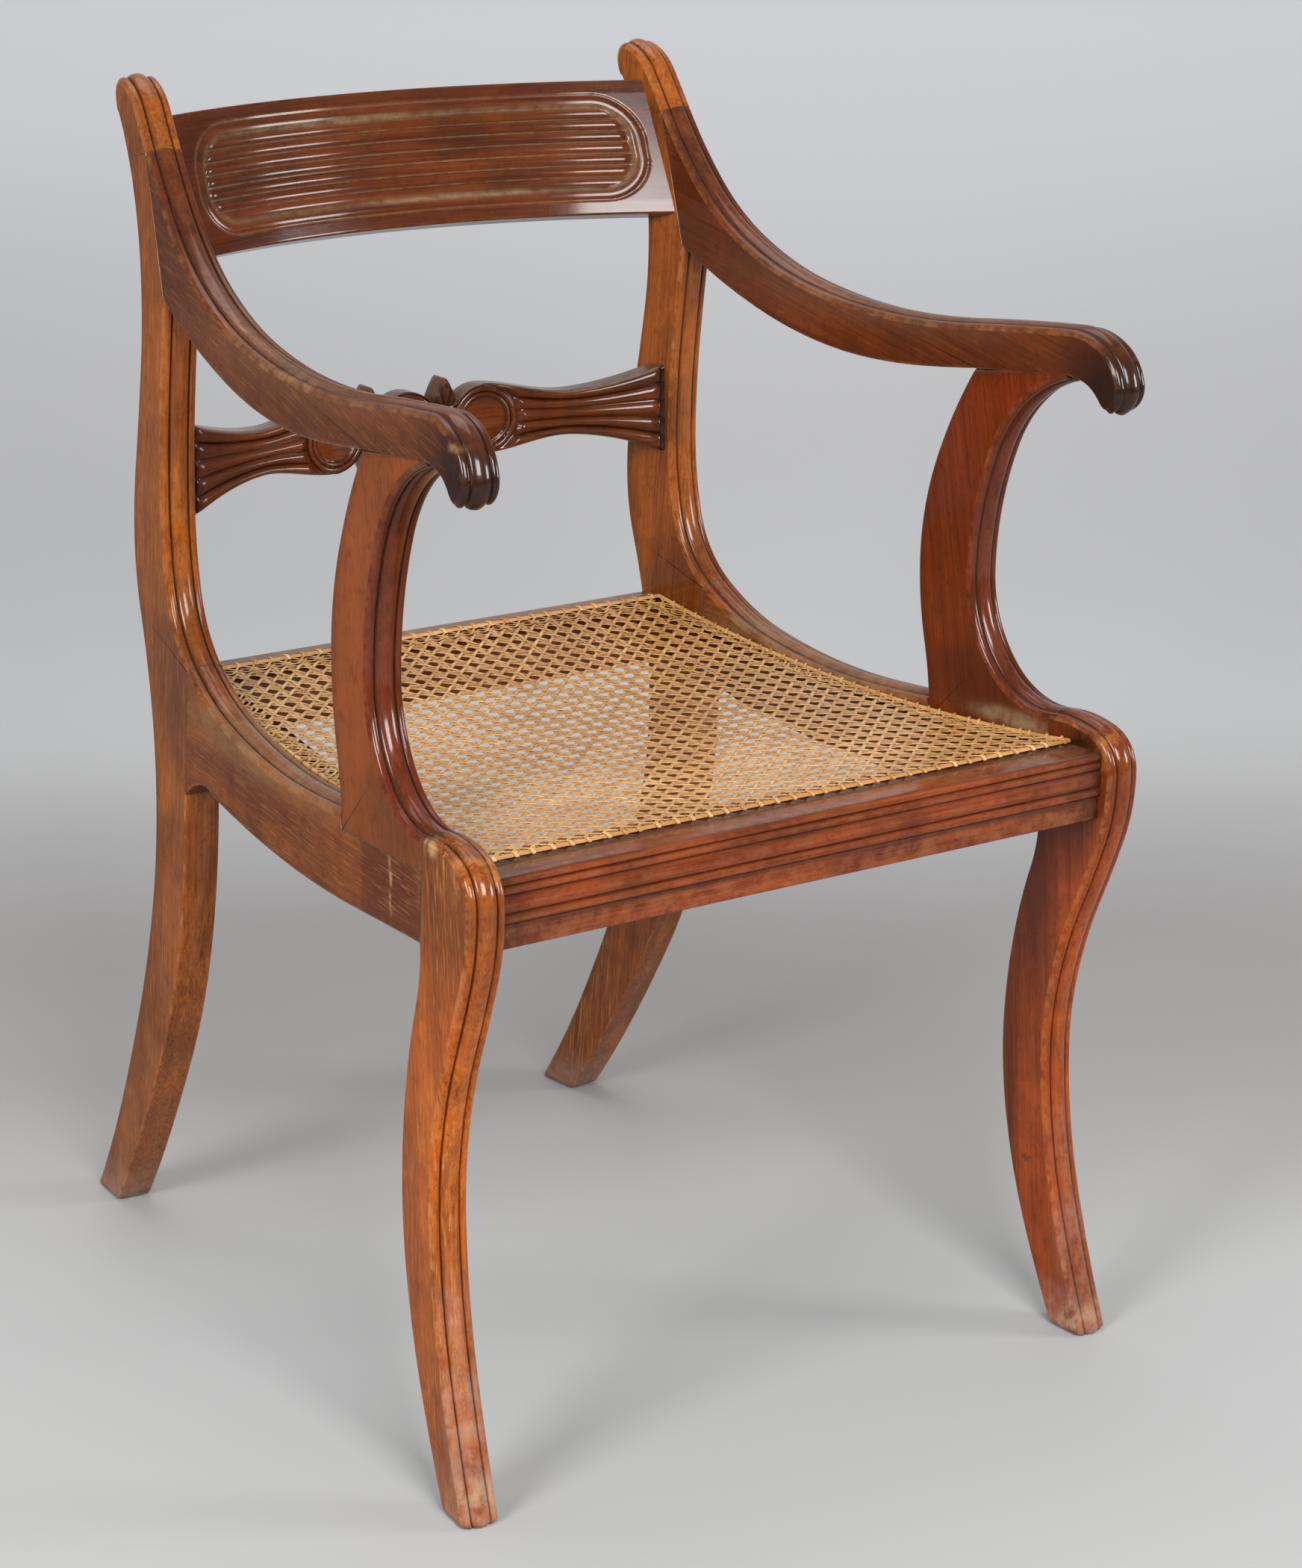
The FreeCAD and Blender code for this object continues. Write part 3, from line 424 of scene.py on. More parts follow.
def marks_on(node, flat, across, floor, amount, rf, rb, ends):
    """Marks of a board. A spot fades as e to minus the fourth power of the distance in reaches; the strongest counts."""
    none = np.zeros(across.shape)
    grime, wear, face, shade = (none.copy() for _ in range(4))
    kept = 0.55 if node.startswith("front_leg") else 1          # feet and skirts have rubbed the legs' quirks clean
    grime[:, REEDS] = kept * amount[:, None] * hump(np.abs(WORKED), QUIRK, 0.6)
    wear[:, REEDS] = np.clip((np.abs(WORKED) - 10.5) / 2, 0, 1) + 0.35 * (np.abs(WORKED) < 4)
    wear[:, [n1, *BACK_ARRISES]] = 0.5
    wear[:, REAR] = np.clip((np.abs(PLAIN[::-1]) - 10.8) / 1.6, 0, 1)
    seam = np.exp(-np.minimum(ends, 40) * STATION / 2.2)
    grime = np.maximum(grime, 0.75 * seam[:, None])
    for arrises, rounding in ((BACK_ARRISES, rb), (FRONT_ARRISES, rf)):
        grime[:, arrises] = np.maximum(grime[:, arrises], 0.9 * (rounding < 0.5)[:, None])
    foot = 0.8 * np.clip(1 - flat[..., 1] / 40, 0, 1) if floor else none
    face[:, OUTER] = 1
    shade[:, OUTER] = 0.45 * smooth(FLANK, 0.8, 1)
    shade[:, INWARD] = 0.45 * smooth(FLANK, 0.8, 1)[::-1]
    shade[:, REEDS] = 0.7 if node.startswith("arm_support") else 0       # no hand rubs the supports' dark reeds
    marks = {"grime": grime, "wear": wear, "foot": foot, "face": face, "shade": shade, "scuff": 0.45 * face,
             "scar": none, "repair": none, "dust": 0.35 * np.where(grime > 0.5, grime, 0)}
    for mark, at_back, at_up, reach_back, reach_up, facing, strength in SPOTS.get(node, ()):
        power = 12 if mark == "repair" else 2                              # a let in piece has straight edges
        far = (np.abs((flat[..., 0] - at_back) / reach_back) ** power
               + np.abs((flat[..., 1] - at_up) / reach_up) ** power)
        marks[mark] = np.maximum(marks[mark], strength * np.exp(-far ** 2) * (across * facing >= 0))
    return marks


def board(name, node, side, fronts, backs, worked, free_front, free_back, seed, floor=False):
    """One board of a side frame, with its grain along the line from its first joint to its last."""
    flat, across, chord, edges = laid_out(fronts, backs, worked, free_front, free_back, floor)
    points = place(across, flat[..., 0], flat[..., 1], side)
    points[..., 2] = np.maximum(points[..., 2], 0)
    grain = np.stack([flat @ chord + 700 * seed, flat @ np.array([-chord[1], chord[0]]) + 90 * seed, across], -1)
    piece = skin(name, points, angle=60, grain=grain, **marks_on(node, flat, across, floor, *edges))
    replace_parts(piece, node)
    return piece


print("corners in a ring", n3 + len(FLANK))

# %% [markdown]
# Each board is listed by its bays, the stretches between one joint and the next: the runs of its front edge, the runs
# of its back edge, which bays are reeded, and which front and back arrises are free and so more rounded.

# %% The five boards of each side
nose_back, arm_joint_back = cut(post_back[0], 0.32)
rail_front, rail_rest = cut(rail_under[3], 0.34)
prop_front, prop_toe = cut(prop_edge[1], 0.45)
boards = {}
for side, hand in ((-1, "left"), (1, "right")):
    boards["post", hand] = board(
        "Back post " + hand, "back_post_" + hand, side,
        [nose_edge, line(ARM_CREST, ARM_HEEL), post_edge, line(RAIL_CREST, RAIL_HORN),
         to_floor(joined(*post_leg)[::-1])],
        [nose_back, arm_joint_back, joined(post_back[1], post_back[2]), post_back[3],
         to_floor(joined(post_back[4], post_back[5]))],
        [1, 0, 1, 0, 0], [1, 0, 1, 0, 1], [1, 1, 1, 1, 1], 1 + side * 0.2, floor=True)
    boards["arm", hand] = board(
        "Arm " + hand, "arm_" + hand, side,
        [joined(arm_edge[0], arm_edge[1]), arm_edge[2], arm_edge[3], arm_edge[4]],
        [joined(*arm_under)[::-1], line(PROP_TOP_BACK, PROP_TOP_FRONT), scroll_under[1][::-1],
         scroll_under[0][::-1]],
        [1, 1, 1, 1], [1, 1, 1, 1], [1, 0, 1, 1], 2 + side * 0.3)
    boards["prop", hand] = board(
        "Arm support " + hand, "arm_support_" + hand, side,
        [joined(prop_edge[0], prop_front), prop_toe],
        [prop_back[::-1], line(PROP_FOOT_BACK, PROP_FOOT_FRONT, SHOULDER)],
        [1, 1], [1, 1], [1, 0], 3 + side * 0.25)
    boards["rail", hand] = board(
        "Side rail " + hand, "side_rail_" + hand, side,
        [rail_edge, line(RAIL_AT_PROP, PROP_FOOT_BACK), line(PROP_FOOT_BACK, PROP_FOOT_FRONT)],
        [joined(*rail_under[:3], rail_front), *cut(rail_rest, 0.03)],
        [1, 0, 0], [1, 0, 0], [1, 1, 1], 4 + side * 0.15)
    boards["leg", hand] = board(
        "Front leg " + hand, "front_leg_" + hand, side,
        [leg_edge[0], to_floor(joined(*leg_edge[1:]))],
        [line(SHOULDER, LEG_HEEL), to_floor(joined(*leg_back))],
        [1, 1], [1, 1], [0, 1], 5 + side * 0.35, floor=True)

# %% [markdown]
# ## The top bar
# The bar is bowed in plan and leans back. Its face was sunk with a gouge: a rounded panel with a broad bead round it
# and seven reeds across. A height field is the plain way to make carving: how far each place of the face stands out.

# %% Carving of the top bar
BAR_LEAN = math.radians(19)
BAR_HEIGHT, BAR_THICK, BAR_LEVEL = 98, 18, 731
BAR_RADIUS, BAR_AXIS = 391.1, -169.1
PANEL_MIDDLE, PANEL_HALF, PANEL_RISE, PANEL_ROUND = 5, 181, 39.5, 34
BAR_REEDS, BAR_ROUND = 7, 1.4


def inner(y, z):
    """How far from the chair's middle the inner face of a side board lies, at a depth and a height of the pattern."""
    up = (z + HALF * math.sin(LEAN)) / math.cos(LEAN)
    lean = -HALF * math.cos(LEAN) - up * math.sin(LEAN)
    back = (y - lean * math.sin(SPLAY)) / math.cos(SPLAY)
    return SPACING / 2 + lean * math.cos(SPLAY) - back * math.sin(SPLAY)


def bar_relief(x, u):
    """Carving of the bar: flat border, a step down, a broad round bead, then seven reeds with rounded ends."""
    off_x, off_u = np.abs(x - PANEL_MIDDLE), np.abs(u - BAR_HEIGHT / 2)
    qx, qu = off_x - (PANEL_HALF - PANEL_ROUND), off_u - (PANEL_RISE - PANEL_ROUND)
    inside = PANEL_ROUND - np.hypot(np.maximum(qx, 0), np.maximum(qu, 0)) - np.minimum(np.maximum(qx, qu), 0)
    step = -1.9 * smooth(inside, 0, 1.6)
    bead = 2.5 * half_round(((inside - 5.6) / 4.9) ** 2) * (inside > 0.7)
    pitch = (PANEL_RISE - 10) * 2 / BAR_REEDS
    share = np.mod((u - BAR_HEIGHT / 2) / pitch + 0.5, 1) * 2 - 1
    reach = PANEL_HALF - PANEL_ROUND - 10.8 + np.sqrt(np.clip(PANEL_ROUND ** 2 - np.maximum(qu, 0) ** 2, 0, None))
    blunt = half_round((1 - np.clip(reach - off_x, 0, 7) / 7) ** 2)
    reeds = -3.6 + 3 * half_round(share ** 2 * 0.985) * blunt
    deep = smooth(inside, 9.4, 10.8)
    border = -0.5 * np.clip((off_u - PANEL_RISE) / (BAR_HEIGHT / 2 - PANEL_RISE), 0, 1)
    relief = np.where(inside > 0, (step + bead) * (1 - deep) + reeds * deep, border)
    quirk = hump(np.abs(share), 1, 0.1) * deep
    uneven = 0.45 + 0.55 * smooth(np.sin(x / 41 + u / 30), -0.2, 0.7)
    ledge = uneven * hump(inside, 9.6, 2.2) + 0.4 * hump(inside, 0.9, 0.6)
    return relief, np.clip(quirk + ledge, 0, 1), inside


def bowed(x, u, depth):
    """Point of the bowed and leaning bar: along its arc, up its face, and back into its thickness."""
    radius = BAR_RADIUS + u * math.sin(BAR_LEAN) + depth * math.cos(BAR_LEAN)
    y = BAR_AXIS + np.sqrt(np.clip(radius ** 2 - x ** 2, 0, None))
    return np.stack([x, y + SHIFT, BAR_LEVEL + u * math.cos(BAR_LEAN) - depth * math.sin(BAR_LEAN)], -1)


print("panel", 2 * PANEL_HALF, "by", 2 * PANEL_RISE, "mm")

# %% Top bar
EASE = np.array([0, 0.25, 0.6, 1])
front_u = np.linspace(BAR_ROUND, BAR_HEIGHT - BAR_ROUND, 138)
ring_u = np.r_[EASE * BAR_ROUND, front_u[1:-1], BAR_HEIGHT - BAR_ROUND * EASE[::-1],
               np.full(4, BAR_HEIGHT), np.linspace(BAR_HEIGHT - 1, 1, 8), np.zeros(4)]
round_in = BAR_ROUND - np.sqrt(BAR_ROUND ** 2 - (BAR_ROUND - EASE * BAR_ROUND) ** 2)
ring_d = np.r_[round_in, np.zeros(len(front_u) - 2), round_in[::-1],
               np.linspace(2.6, BAR_THICK - 1, 4), np.full(8, BAR_THICK), np.linspace(BAR_THICK - 1, 2.6, 4)]
on_face = np.r_[np.ones(len(EASE) * 2 + len(front_u) - 2), np.zeros(16)]
bar_x = np.linspace(-1, 1, 480)[:, None]
level = BAR_LEVEL + ring_u * math.cos(BAR_LEAN)
limit = inner(172 + ring_u * math.sin(BAR_LEAN) + ring_d, level) + 2.5
x = bar_x * limit
u = np.broadcast_to(ring_u, x.shape)
relief, dust, inside = bar_relief(x, u)
depth = ring_d - relief * on_face
rings = bowed(x, u, depth)
arris = np.exp(-np.minimum(u, BAR_HEIGHT - u) / 1.5) * (ring_d < 4)
top_bar = skin("Top bar", rings, angle=50, grain=np.stack([x + 9000, u + 40, depth], -1), dust=dust * on_face,
               wear=0.7 * arris + 0.5 * hump(inside, -0.3, 0.6) * on_face, grime=0.2 * dust * on_face,
               shade=np.where(inside < 0, 0.6, 0.15))
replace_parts(top_bar, "top_bar")

# %% [markdown]
# ## The centre rail
# The carver's piece: three roundels framed by double rings, four small leaves between them and two wings of five reeds
# that spread to the posts. The same height field idea serves, with a ragged outline: each upright slice has its own top
# and foot.

# %% Carving of the centre rail
CENTRE_LEVEL, CENTRE_RADIUS, CENTRE_AXIS, CENTRE_THICK = 585, 450.4, -223.9, 16
PITCH, LOBE = 62, 26        # between two roundels, and the radius of one
ROUNDELS = (-PITCH, 0, PITCH)
WAIST_AT, WAIST = 125, 16.6   # where a wing is thinnest, and its half height there


def wing(x):
    """Half height of a wing: from the lobe it draws in to a waist and flares to the post, two eased runs."""
    off = np.abs(x)
    near = LOBE + (WAIST - LOBE) * smooth(off, PITCH, WAIST_AT)
    far = np.clip((off - WAIST_AT) / 70, 0, None)
    return np.where(off < WAIST_AT, near, WAIST + 15.9 * far ** 1.75)


def half_height(x):
    """Outline of the rail at x: the greatest of wing, lobes and leaves."""
    off = np.abs(x)
    lobes = [np.sqrt(np.clip(LOBE ** 2 - (x - c) ** 2, 0, None)) for c in ROUNDELS]
    leaf = 33.4 - 13 * (np.abs(off - PITCH / 2) / 7.6) ** 1.5
    leaf = np.where(np.abs(off - PITCH / 2) < 8.5, leaf, 0)
    return np.maximum.reduce([np.where(off > PITCH, wing(x), 0), *lobes, leaf])


def centre_relief(x, z, half):
    """Carving: reeds on the wings, two rings and a low dome in each roundel, radiating veins on the leaves."""
    off = np.abs(x)
    r = np.min([np.hypot(x - c, z) for c in ROUNDELS], axis=0)
    share = np.clip(z / half, -1, 1)
    reed_share = np.mod((share * 0.98 + 1) * 2.5, 1) * 2 - 1
    ends = half_round(np.clip((off - 183) / 9, 0, 1) ** 2) * smooth(r, 25, 31)
    reeds = 4 * half_round(reed_share ** 2 * 0.98) * (0.05 + 0.95 * ends) - 1.8
    rings = 1.7 * half_round(((r - 22.6) / 2) ** 2) + 1.5 * half_round(((r - 18.6) / 1.7) ** 2)
    roundel = np.where(r < 16.8, 0.9 * (1 - (r / 16.8) ** 2) - 0.4, rings - 0.5)
    vein = np.abs(np.cos(np.arctan2(off - PITCH / 2, np.abs(z) - 8) * 6.5))
    leaf = 1 + 1.8 * vein - 1.8 * smooth(np.hypot(off - PITCH / 2, np.abs(z) - 33), 10, 26)
    on_leaf = smooth(r, 24.4, 25.4) * (off < PITCH)
    on_wing = smooth(r, 24.4, 25.6) * (off >= PITCH)
    relief = roundel * (1 - on_leaf - on_wing) + leaf * on_leaf + reeds * on_wing
    dark = (hump(np.abs(reed_share), 1, 0.14) * on_wing + hump(r, 20.6, 0.7) + hump(r, 24.9, 0.8)
            + hump(r, 16.9, 0.7) + on_leaf * (0.4 + (1 - vein) ** 2) + smooth(off, 186, 194))
    return relief, np.clip(dark, 0, 1)


print("half heights at a roundel and a waist", half_height(np.array([PITCH, WAIST_AT])), "mm")

# %% Centre rail
share = np.sin(np.linspace(-0.5, 0.5, 76) * math.pi * 0.96) / math.sin(0.48 * math.pi)
column = np.linspace(-1, 1, 640)[:, None]
ring_v = np.r_[share, np.ones(3), np.linspace(0.96, -0.96, 9), -np.ones(3)]
ring_d = np.r_[np.zeros(len(share)), np.linspace(3, CENTRE_THICK - 1, 3), np.full(9, CENTRE_THICK),
               np.linspace(CENTRE_THICK - 1, 3, 3)]
on_face = np.r_[np.ones(len(share)), np.zeros(15)]
limit = inner(184 + ring_d, CENTRE_LEVEL + 20 * ring_v) + 2
x = column * limit
half = half_height(x)
z = ring_v * half
relief, dark = centre_relief(x, z, half)
edge_round = 2.2 * np.clip((np.abs(z) - half + 2.2) / 2.2, 0, 1) ** 2
depth = ring_d - (relief - edge_round) * on_face
y = CENTRE_AXIS + np.sqrt((CENTRE_RADIUS + depth) ** 2 - x ** 2) + SHIFT
rings = np.stack([x, y, CENTRE_LEVEL + z], -1)
upper = smooth(z, half - 1.5, half) * (ring_v > 0)
centre_rail = skin("Centre rail", rings, angle=50, grain=np.stack([x + 12000, z + 20, depth], -1),
                   grime=dark * on_face, dust=0.35 * upper, wear=0.6 * edge_round / 2.2 * on_face)
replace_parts(centre_rail, "centre_rail")

# %% [markdown]
# ## Front and rear rails
# The front rail carries four reeds over a plain band, one of them wide, run with the same kind of scratch stock.
# Both rails stop at the inner faces of the side boards, so each end follows that slanted plane.

# %% Front rail
RAIL_FACE, RAIL_TOP, RAIL_HEIGHT, RAIL_BACK = -274.5, 427, 46, -228.5
BEADS = (5.8, 6, 12, 6.2)    # widths of the reeds, from the top down
PROUD, SUNK = 2.4, 0.7           # how far a reed stands out of the face, and its quirk lies in it


def bar_of(name, node, ys, zs, grime, wear, dust, seed):
    """A straight rail: one closed section carried from one side board to the other."""
    reach = inner(ys, zs) - 0.15
    x = np.linspace(-1, 1, 200)[:, None] * reach
    wide = np.ones_like(x)
    rings = np.stack([x, ys * wide + SHIFT, zs * wide], -1)
    grain = np.stack([x + 800 * seed, ys * wide, zs * wide], -1)
    dirt = np.maximum(grime * wide, 0.8 * np.exp(-(reach - np.abs(x)) / 4))
    piece = skin(name, rings, angle=45, grain=grain, grime=dirt, wear=wear * wide, dust=dust * wide,
                 shade=0.8 * hump(np.abs(x), reach, 30))
    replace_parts(piece, node)
    return piece


turn = np.linspace(0, math.pi, 13)
tops = RAIL_TOP - np.r_[0, np.cumsum(BEADS)]
face_z = (tops[:-1, None] - np.array(BEADS)[:, None] / 2 * (1 - np.cos(turn))).ravel()
face_y = np.tile(RAIL_FACE + SUNK - (PROUD + SUNK) * np.sin(turn) ** 0.8, len(BEADS))
face_grime = np.tile(np.abs(np.cos(turn)) ** 9, len(BEADS))
face_wear = np.tile(np.sin(turn) ** 6 * 0.5, len(BEADS))
foot = tops[-1]
low = RAIL_TOP - RAIL_HEIGHT
under_y = RAIL_FACE + np.array([0, 0, 0, 0, 0.4, 1.3, 3])
under_z = np.array([foot - 0.6, foot - 5, low + 3, low + 1.3, low + 0.4, low, low])
back_y = RAIL_BACK - np.array([1, 0, 0, 1, 14, 23, 36, 43])
back_z = np.r_[low, low + 1, RAIL_TOP - 1, np.full(5, RAIL_TOP)]
front_rail = bar_of(
    "Front rail", "front_rail", np.r_[face_y, under_y, back_y],
    np.r_[face_z, under_z, back_z],
    np.r_[face_grime, 0.7, np.zeros(6), 0.2, 0.2, 0.2, 0.3, 0.5, 0.45, 0, 0],
    np.r_[face_wear, 0.3, 0.6, 0.6, 0.7, 0.8, 0.4, np.zeros(7), 0.5, 0.8],
    np.r_[0.5 * face_grime ** 3, np.zeros(12), 0.35, 0.1, 0], 18)

# %% Rear rail and the lips that carry the cane
seat_marks = np.array([[-249.5, 429.8], [-40, 420], [190, 441]])
middle = np.linalg.solve(2 * (seat_marks[1:] - seat_marks[0]),
                         (seat_marks[1:] ** 2).sum(1) - (seat_marks[0] ** 2).sum())
seat_radius = np.hypot(*(seat_marks[0] - middle))


def dip(y):
    """Level of the cane's upper side from front to back: it hangs in an arc between the rails."""
    return middle[1] - np.sqrt(seat_radius ** 2 - (y - middle[0]) ** 2)


rear_y = np.array([165, 165, 166, 187, 209, 210, 210, 209, 200, 192, 190.4, 190.4, 178])
rear_z = np.r_[dip(165) - 3, 399.2, 398, 398, 398, 399.2, 438.8, 440, 440, 440, 439.6,
               dip(np.array([190, 178])) - 3]
rear_rail = bar_of("Rear rail", "rear_rail", rear_y, rear_z, np.r_[np.full(10, 0.1), 0.9, 0.9, 0.6],
                   np.r_[np.zeros(6), 0.6, 0.6, 0.1, 0.4, np.zeros(3)], np.r_[np.zeros(7), 0.5, 0.6, 0.5, np.zeros(3)],
                   23)

for side, hand in ((-1, "left"), (1, "right")):
    y = np.linspace(-228, 164.6, 120)[:, None]
    drop = np.array([2.8, 2.8, 22.4, 22.4])
    reach = np.array([0.05, 22, 22, 0.05])
    z = dip(y) - drop
    x = side * (inner(y, z) - reach)
    lip = skin("Cane lip " + hand, np.stack([x, y + SHIFT + 0 * x, z], -1),
               grain=np.stack([y + 0 * x, x, z], -1), grime=np.full(x.shape, 0.5))
    boards["lip", hand] = lip

# %% [markdown]
# ## The woven cane
# Split cane is woven in the six way pattern: pairs from front to back, pairs from side to side, and single strands on
# both slants, which cross on the pairs and leave eight sided holes. Each strand is a flat tube that rises and dips in a
# wave, so that it passes over one strand and under the next. All strands of one direction are worked out as one array.

# %% One set of strands
HOLES = 12.9                    # between two holes for the cane
CANE_FRONT, CANE_BACK = -246, 186.5
NONE, FAR = 1e-9, 1e9           # stand for no slope and for no end
SECTION = np.array([[-1, 0], [-0.8, 0.6], [0, 1], [0.8, 0.6], [1, 0], [0, -0.25]])
dice = np.random.default_rng(1815)


def seat_half(y):
    """Half width of the cane at a depth of the seat."""
    return inner(y, 420) - 5


def clipped(start, aim):
    """Both ends of each line start + t * aim inside the seat's four edges."""
    slope = (seat_half(100) - seat_half(0)) / 100
    walls = np.array([[0, -1, -CANE_FRONT], [0, 1, CANE_BACK],
                      [1, -slope, seat_half(0)], [-1, -slope, seat_half(0)]])
    rate = walls[:, :2] @ aim
    room = walls[:, 2][:, None] - walls[:, :2] @ start.T
    t = room / np.where(np.abs(rate) < NONE, NONE, rate)[:, None]
    high = np.where(rate[:, None] > NONE, t, FAR).min(0)
    low = np.where(rate[:, None] < -NONE, t, -FAR).max(0)
    keep = (high - low > 10) & ~((np.abs(rate)[:, None] < NONE) & (room < 0)).any(0)
    return start[keep] + low[keep, None] * aim, start[keep] + high[keep, None] * aim, keep


def weave(name, start, aim, width, rise, wave, pale, steps=150):
    """Strands along aim: half width, middle height, a wave (size, pitch, phase for each strand) and paleness.

    The height is rise plus size times the cosine of the way along in half pitches, let down at both ends.
    """
    size, pitch, phase = wave
    first, last, keep = clipped(start, aim)
    share = np.linspace(0, 1, steps)[:, None]
    path = first[:, None] * (1 - share) + last[:, None] * share
    across = np.array([-aim[1], aim[0]])
    along = path @ aim
    bends = dice.normal(0, 0.3, (len(first), 1)) * np.sin(along / 37 + 6.3 * dice.random((len(first), 1)))
    path = path + bends[..., None] * across + dice.normal(0, 0.15, len(first))[:, None, None] * across
    begin = (start @ aim)[keep][:, None]
    lift = rise + size * np.cos(math.pi * (along - begin) / pitch + phase[keep][:, None])
    near = np.minimum(share[..., 0], 1 - share[..., 0]) * np.hypot(*(last - first).T)[:, None]
    lift = lift * smooth(near, 0, 9) - 0.6 * (1 - smooth(near, 0, 6))
    wide = width * (1 + dice.normal(0, 0.06, len(first)))[:, None, None]
    flat = path[:, :, None, :] + across * (SECTION[:, 0] * wide)[..., None]
    z = dip(path[..., 1])[..., None] - 0.9 + lift[..., None] + SECTION[:, 1] * 0.36
    rings = raised(flat, z)
    rings[..., 1] += SHIFT
    tone = np.broadcast_to(pale + 0.6 * dice.random(len(first))[:, None, None], rings.shape[:3])
    strand = np.stack([np.broadcast_to(along[..., None], rings.shape[:3]),
                       np.broadcast_to(SECTION[:, 0], rings.shape[:3]), tone * 50], -1)
    tone = tone + 0.25 * np.clip(-rings[..., 0] / 230, 0, 1)            # painted light: the strands are made paler towards the left side
    # dirt and painted shade: darker where a strand dips under a crossing one, along its edges and on its underside
    under_crossing_shade = np.clip((rise + 0.06 - lift) / 0.3, 0, 1)[..., None]
    dirt = np.clip(0.6 * under_crossing_shade + 0.85 * (np.abs(SECTION[:, 0]) > 0.9) + (SECTION[:, 1] < 0), 0, 1)
    piece = skin(name, rings, angle=70, strand=strand, tone=tone, grime=dirt)
    return piece


print("cane", CANE_BACK - CANE_FRONT, "mm deep, strands clipped at four edges")

# %% The woven panel
count = np.arange(-19, 20)
ranks = np.arange(32)
rows = CANE_FRONT + HOLES * (ranks + 1.5)
pair = np.array([-1.3, 1.3])    # the two strands of a pair, from their middle line
lengthwise = (count[:, None] * HOLES + pair).ravel()
crosswise = (rows[:, None] + pair).ravel()
parity = math.pi * np.repeat(count, 2)
cane = [weave("Cane front to back", np.stack([lengthwise, 0 * lengthwise], -1), np.array([0, 1]), 1.15, 0,
              (0.13, HOLES, parity - math.pi * rows[0] / HOLES), 0.05),
        weave("Cane side to side", np.stack([0 * crosswise, crosswise], -1), np.array([1, 0]), 1.15, 0.03,
              (-0.13, HOLES, math.pi * np.repeat(ranks, 2)), 0.1)]
offset = HOLES * (np.arange(-70, 71) + 0.5)
start = np.stack([offset, np.full(len(offset), rows[0])], -1)
for name, slant, phase in (("Cane rising slant", 1, 0), ("Cane falling slant", -1, math.pi)):
    cane.append(weave(name, start, np.array([1, slant]) / math.sqrt(2), 1.35, 0.12,
                      (0.3, HOLES / math.sqrt(2), 0 * offset + phase), 0.4, steps=230))
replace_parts(cane[0], "cane_panel")

# %% [markdown]
# A wider strip, the binder, lies over the holes round the edge. A loop of cane at each hole ties it down, and the ends
# of the slanting strands fan out beside it. The strip is a flat section along the four edges, each tie is a short arch
# over it, and the fans are two strands that weave about each other.

# %% Binder, ties and fans
EDGE = 2.4                      # from the cane's edge to the middle of the binder
BOW = np.array([[-1.7, -0.9], [-1.3, 0.5], [0, 1], [1.3, 0.5], [1.7, -0.9], [0, -1]])
LOOP = np.array([[-1, -0.25], [-0.6, 0.3], [0.6, 0.3], [1, -0.25]])


def loose(name, rings, lean, least, more, **settings):
    """Cane round the edge, each strand in its own tone; the fine lines run along x plus lean times y."""
    rings = rings + np.array([0, SHIFT, 0])
    tone = np.broadcast_to(least + more * dice.random(len(rings))[:, None, None], rings.shape[:3])
    strand = np.stack([rings[..., 0] + lean * rings[..., 1], 0 * tone, tone * 50], -1)
    piece = skin(name, rings, strand=strand, tone=tone, **settings)
    cane.append(piece)
    return piece


corners = np.array([[-1, CANE_FRONT - EDGE], [1, CANE_FRONT - EDGE], [1, CANE_BACK + EDGE],
                    [-1, CANE_BACK + EDGE]])
corners[:, 0] *= seat_half(corners[:, 1]) + EDGE
strips, ties, fans = [], [], []
for start, stop in zip(corners, np.roll(corners, -1, 0)):
    reach = np.hypot(*(stop - start))
    aim = (stop - start) / reach
    out = np.array([aim[1], -aim[0]])
    share = np.linspace(0, 1, 110)[:, None]
    path = start * (1 - share) + stop * share
    flat = path[:, None] + out * BOW[:, :1]
    z = dip(path[:, 1])[:, None] + BOW[:, 1] + 0.35
    strips.append(raised(flat, z))
    along = np.linspace(6, reach - 6, 260)
    for phase in (0, math.pi):
        off = 7 + 5.2 * np.sin(math.pi * along / HOLES + phase) + 0.6 * np.sin(along / 31 + 2 * phase)
        path = start + along[:, None] * aim - off[:, None] * out
        slope = np.gradient(path, axis=0)
        across = np.stack([-slope[:, 1], slope[:, 0]], -1) / np.hypot(*slope.T)[:, None]
        flat = path[:, None] + across[:, None] * SECTION[:, :1]
        z = dip(path[:, 1])[:, None] - 0.35 + 0.03 * off[:, None] + SECTION[:, 1] * 0.4
        fans.append(raised(flat, z))
    places = np.arange(9, reach - 6, HOLES)
    middle_of = start + places[:, None] * aim + aim * dice.normal(0, 1.2, len(places))[:, None]
    sweep = np.linspace(-1, 1, 9)
    over = middle_of[:, None] + out * (sweep * 2.7)[:, None] + aim * (1.5 * sweep)[:, None]
    rise = dip(middle_of[:, 1])[:, None] + 2.1 - 2.6 * sweep ** 4
    flat = over[:, :, None, :] + aim * (LOOP[:, 0] * 1.3)[:, None]
    ties.append(raised(flat, rise[..., None] + LOOP[:, 1]))
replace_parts(loose("Cane binder strip", np.stack(strips), 1, 0, 1), "cane_binder")
loose("Cane ties", np.concatenate(ties), -1, 0, 1)
fan = np.stack(fans)
# dirt and painted shade along the strands' edges
loose("Cane edge fans", fan, 1, 0.4, 0.5, angle=70,
      grime=np.broadcast_to(0.5 * (np.abs(SECTION[:, 0]) > 0.9), fan.shape[:3]))

# %% [markdown]
# ## Old polished mahogany
# Cuban mahogany is red brown and closed grained. The polish is shellac, worn thin where hands and clothes rub and thick
# and dark in the quirks. The shader reads the marks that the meshes carry: which way the grain runs in millimetres,
# where grime gathers, where an arris is rubbed pale, where dust lies. One function makes the wood in several tones.

